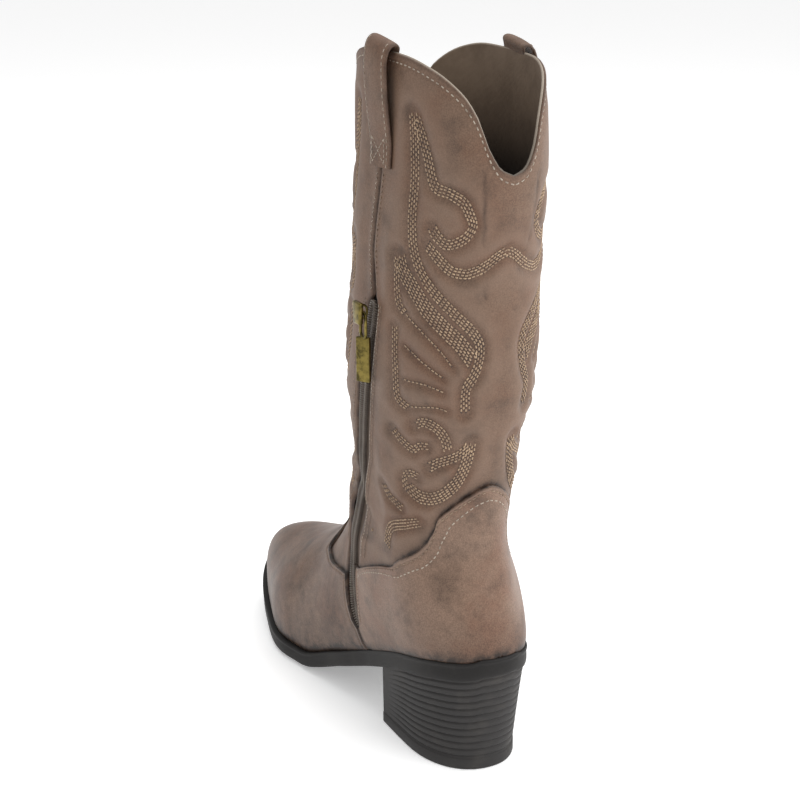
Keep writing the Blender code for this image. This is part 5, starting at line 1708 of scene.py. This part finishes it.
@dataclass
class Bottom:
    """The outsole, the ribbed heel block and its top lift."""

    last: Last
    gap: float = 0.45
    lift: float = 6.0
    heel_front: float = 69.0
    heel_forward: float = 4.0
    heel_tuck: float = 8.0
    heel_narrow: float = 0.92
    heel_hollow: float = 3.0
    ribs: int = 11
    rib_start: float = 0.03
    groove: float = 0.75
    tread: tuple[float, float] = (84.0, 118.0)
    edge: Sequence[EdgeRow] = (
        EdgeRow(0.2, -1.5, 0.2, -1.5), EdgeRow(-0.25, 1.2, -0.1, 1.2), EdgeRow(-0.25, 2.0, 0.0, 3.4),
        EdgeRow(0.1, 2.6, 0.25, 4.3), EdgeRow(0.8, 2.85, 0.9, 4.75), EdgeRow(1.6, 2.75, 1.6, 4.65),
        EdgeRow(2.1, 2.35, 2.1, 4.3), EdgeRow(3.0, 2.45, 3.0, 4.4), EdgeRow(5.2, 2.6, 5.2, 4.5),
        EdgeRow(7.2, 2.6, 7.2, 4.45), EdgeRow(8.4, 2.45, 8.4, 4.0), EdgeRow(9.1, 2.2, 9.1, 3.0),
        EdgeRow(9.5, 1.8, 9.9, 0.0), EdgeRow(9.6, 1.2, 11.0, -6.0),
    )
    under: EdgeRow = EdgeRow(9.6, 1.4, 11.0, -6.0)
    sharp: float = 50.0

    @staticmethod
    def grown(loop: Array, distance: Array) -> Array:
        """Return a loop in plan moved outwards by a distance."""
        along = np.roll(loop, -1, axis=0) - np.roll(loop, 1, axis=0)
        outward = unit(np.column_stack([along[:, 1], -along[:, 0]]))
        if np.sum((loop[:, :2] - loop[:, :2].mean(axis=0)) * outward) < 0:
            outward = -outward
        return loop[:, :2] + outward * distance

    def sole_ring(self, loop: Array, edge: EdgeRow) -> Array:
        """Return a ring of the sole's edge, kept above the floor."""
        part = np.clip((loop[:, 1] - self.tread[0]) / (self.tread[1] - self.tread[0]), 0, 1)
        part = part * part * (3 - 2 * part)
        depth = edge.seat_depth + (edge.tread_depth - edge.seat_depth) * part
        reach = edge.seat_reach + (edge.tread_reach - edge.seat_reach) * part
        plan = self.grown(loop, reach[:, None])
        return np.column_stack([plan, np.maximum(self.last.seat_height(plan[:, 1]) - self.gap - depth, 0)])

    @staticmethod
    def capped(piece: Piece, rings: Array, flip: bool) -> None:
        """Add rings of a loop that opens at its first and middle points, with a cap at each end."""
        piece.add_grid(rings, wrap=True, flip=flip)
        count = rings.shape[1]
        for ring, turned in ((rings[0], not flip), (rings[-1], flip)):
            left = ring[: count // 2 + 1]
            right = np.concatenate([ring[:1], ring[count // 2:][::-1]])
            part = np.linspace(0, 1, 9)[None, :, None]
            piece.add_grid(left[:, None] * (1 - part) + right[:, None] * part, flip=turned)

    def horseshoe(self, ring: Array, steps: int) -> Array:
        """Return the back of a sole ring, from its inside front corner round to its outside one."""
        half = len(ring) // 2
        sides = []
        for side in (ring[: half + 1], np.concatenate([ring[half:], ring[:1]])[::-1]):
            start = np.interp(-self.heel_front, -side[:, 1], np.arange(len(side)))
            corner = [np.interp(start, np.arange(len(side)), side[:, axis]) for axis in range(3)]
            line = np.vstack([corner, side[int(math.ceil(start)):]])
            length = np.concatenate([[0], np.cumsum(np.linalg.norm(np.diff(line, axis=0), axis=1))])
            spots = np.linspace(0, length[-1], steps + 1)
            sides.append(np.column_stack([np.interp(spots, length, line[:, axis]) for axis in range(3)]))
        return np.concatenate([sides[0], sides[1][:-1][::-1]])

    def heel_levels(self) -> list[tuple[float, float]]:
        """Return the heel's levels, 0 at the sole and 1 at the lift, with the groove's depth at each."""
        pitch = (1 - 2 * self.rib_start) / self.ribs
        levels = [(-0.012, 0.0), (0.0, 0.0)]
        for rib in range(self.ribs):
            low = self.rib_start + rib * pitch
            for share, depth in ((0.0, 1.0), (0.10, 0.75), (0.2, 0.1), (0.32, 0.0), (0.7, 0.0), (0.86, 0.2)):
                levels.append((low + share * pitch, depth * self.groove))
        levels.append((1 - self.rib_start, self.groove))
        levels.append((1.0, 0.0))
        return levels

    def heel_rings(self, loop: Array) -> Array:
        """Return the heel block's rings from the sole down to the top lift, ribbed round the back."""
        top = self.horseshoe(self.sole_ring(loop, self.under), 70)
        inside, outside = top[0], top[-1]
        breast = []
        for part in np.linspace(0, 1, 15)[1:-1]:
            hollow = self.heel_hollow * math.sin(part * math.pi)
            breast.append(outside + (inside - outside) * part - np.array([0, hollow, 0]))
        ring = np.concatenate([breast[6:], top, breast[:6]])
        count = len(ring)
        order = np.minimum(np.arange(count), count - np.arange(count))
        fade = np.clip((order - 12) / 16, 0, 1)
        back, front = ring[:, 1].min(), ring[:, 1].max()
        forward = (ring[:, 1] - back) / (front - back)
        centre = ring[:, 0].mean()
        levels = []
        for level, groove in self.heel_levels():
            down = max(level, 0.0)
            shape = ring.copy()
            shape[:, 0] = centre + (ring[:, 0] - centre) * (1 - (1 - self.heel_narrow) * down)
            shape[:, 1] = (ring[:, 1] + self.heel_tuck * down ** 0.8 * (1 - forward)
                           + self.heel_forward * down * forward)
            shape[:, 2] = ring[:, 2] * (1 - level) + self.lift * level
            cut = self.grown(shape, -groove)
            shape[:, :2] += (cut - shape[:, :2]) * fade[:, None]
            levels.append(shape)
        return np.array(levels)

    def build(self, finishes: Finishes) -> None:
        """Build the three pieces."""
        loop = self.last.feather_loop(150)
        sole = Piece("outsole_edge", "sole_rubber", finishes.sole)
        self.capped(sole, np.array([self.sole_ring(loop, row) for row in self.edge]), flip=True)
        sole.build(("outsole",), weld=WELD, angle=self.sharp)
        rings = self.heel_rings(loop)
        heel = Piece("heel_block", "heel_rubber", finishes.heel)
        self.capped(heel, rings, flip=True)
        heel.build(("heel",), weld=WELD, angle=self.sharp)
        foot = rings[-1]
        top = self.lift + 0.05
        steps = ((top, -0.6), (top, 0.1), (self.lift - 0.35, 0.4), (0.9, 0.4), (0.3, 0.1), (0.0, -0.5))
        lift = [np.column_stack([self.grown(foot, reach), np.full(len(foot), height)])
                for height, reach in steps]
        piece = Piece("top_lift_block", "heel_rubber", finishes.heel)
        self.capped(piece, np.array(lift), flip=True)
        piece.build(("top_lift",), weld=WELD, angle=self.sharp)


class Lamp(NamedTuple):
    """A square lamp: its place and its side in metres, and its power in watts."""

    name: str
    place: tuple[float, float, float]
    side: float
    power: float


@dataclass
class Studio:
    """The pale floor, the soft lights and the camera at the photograph's angle."""

    turn: float = 27.0
    tilt: float = 18.23
    away: float = 855.3
    roll: float = -0.29
    focal: float = 75.63
    aim: tuple[float, float, float] = (-9.42, -40.73, 173.4)
    floor_side: float = 80.0
    floor_grey: float = 0.93
    floor_glow: float = 0.30
    surroundings: float = 0.66
    lamp_aim: tuple[float, float, float] = (0, 0, 0.15)
    lamps: Sequence[Lamp] = (
        Lamp("key", (0.7, -1.5, 1.3), 1.1, 17.0), Lamp("right", (1.5, -0.4, 0.8), 1.0, 10.0),
        Lamp("left", (-1.5, 0.1, 0.9), 1.0, 0.8), Lamp("above", (0.1, 0.3, 1.9), 1.6, 15.0),
    )

    def build(self) -> None:
        """Build the stage and set the scene's camera."""
        self.floor()
        self.lights()
        self.camera()

    def floor(self) -> None:
        """Lay the floor."""
        bpy.ops.object.select_all(action="DESELECT")
        bpy.ops.mesh.primitive_plane_add(size=self.floor_side, location=(0, 0, 0))
        floor = bpy.context.active_object
        floor.name = "studio_floor"
        material = bpy.data.materials.new("studio_floor")
        material.use_nodes = True
        shader = material.node_tree.nodes["Principled BSDF"]
        shader.inputs["Base Color"].default_value = (*(self.floor_grey,) * 3, 1.0)
        shader.inputs["Roughness"].default_value = 0.9
        shader.inputs["Emission Color"].default_value = (1.0, 1.0, 1.0, 1.0)
        shader.inputs["Emission Strength"].default_value = self.floor_glow
        floor.data.materials.append(material)

    def lights(self) -> None:
        """Set the soft lights and the bright surroundings."""
        world = bpy.data.worlds.new("studio")
        bpy.context.scene.world = world
        world.use_nodes = True
        background = world.node_tree.nodes["Background"]
        background.inputs["Color"].default_value = (1.0, 1.0, 1.0, 1.0)
        background.inputs["Strength"].default_value = self.surroundings
        bpy.context.scene.view_settings.view_transform = "Standard"
        for lamp in self.lamps:
            data = bpy.data.lights.new(lamp.name, "AREA")
            data.size = lamp.side
            data.energy = lamp.power
            obj = bpy.data.objects.new(lamp.name, data)
            obj.location = lamp.place
            aim = Vector(self.lamp_aim) - Vector(lamp.place)
            obj.rotation_euler = aim.to_track_quat("-Z", "Y").to_euler()
            bpy.context.scene.collection.objects.link(obj)

    def camera(self) -> None:
        """Place the camera."""
        turn, tilt = math.radians(self.turn), math.radians(self.tilt)
        back = Vector((-math.sin(turn) * math.cos(tilt), -math.cos(turn) * math.cos(tilt), math.sin(tilt)))
        right = Vector((math.cos(turn), -math.sin(turn), 0))
        up = back.cross(right)
        axes = Matrix((right, up, back)).transposed() @ Matrix.Rotation(math.radians(self.roll), 3, "Z")
        data = bpy.data.cameras.new("photo_camera")
        data.lens = self.focal
        data.sensor_width = 36.0
        data.clip_start = 0.01
        camera = bpy.data.objects.new("photo_camera", data)
        place = (Vector(self.aim) + back * self.away) * MM
        camera.matrix_world = Matrix.Translation(place) @ axes.to_4x4()
        bpy.context.scene.collection.objects.link(camera)
        bpy.context.scene.camera = camera


def main() -> None:
    """Build the studio and the boot's pieces in order."""
    logging.basicConfig(level=logging.INFO, format="%(name)s: %(message)s")
    Studio().build()
    finishes = Finishes()
    last = Last()
    slit = ZipPath(last)
    overlays = Overlays(last, slit)
    shaft = Shaft(last, slit, overlays)
    Bottom(last).build(finishes)
    Lining(last).build(finishes)
    shaft.build(finishes)
    vamp = overlays.build_vamp(finishes)
    overlays.build_counter(finishes)
    Embroidery(shaft).build(finishes)
    SeamStitches(last, shaft, overlays, slit).build(finishes, vamp)
    PullStraps(last).build(finishes)
    Zip(last, slit).build(finishes)


if __name__ == "__main__":
    main()
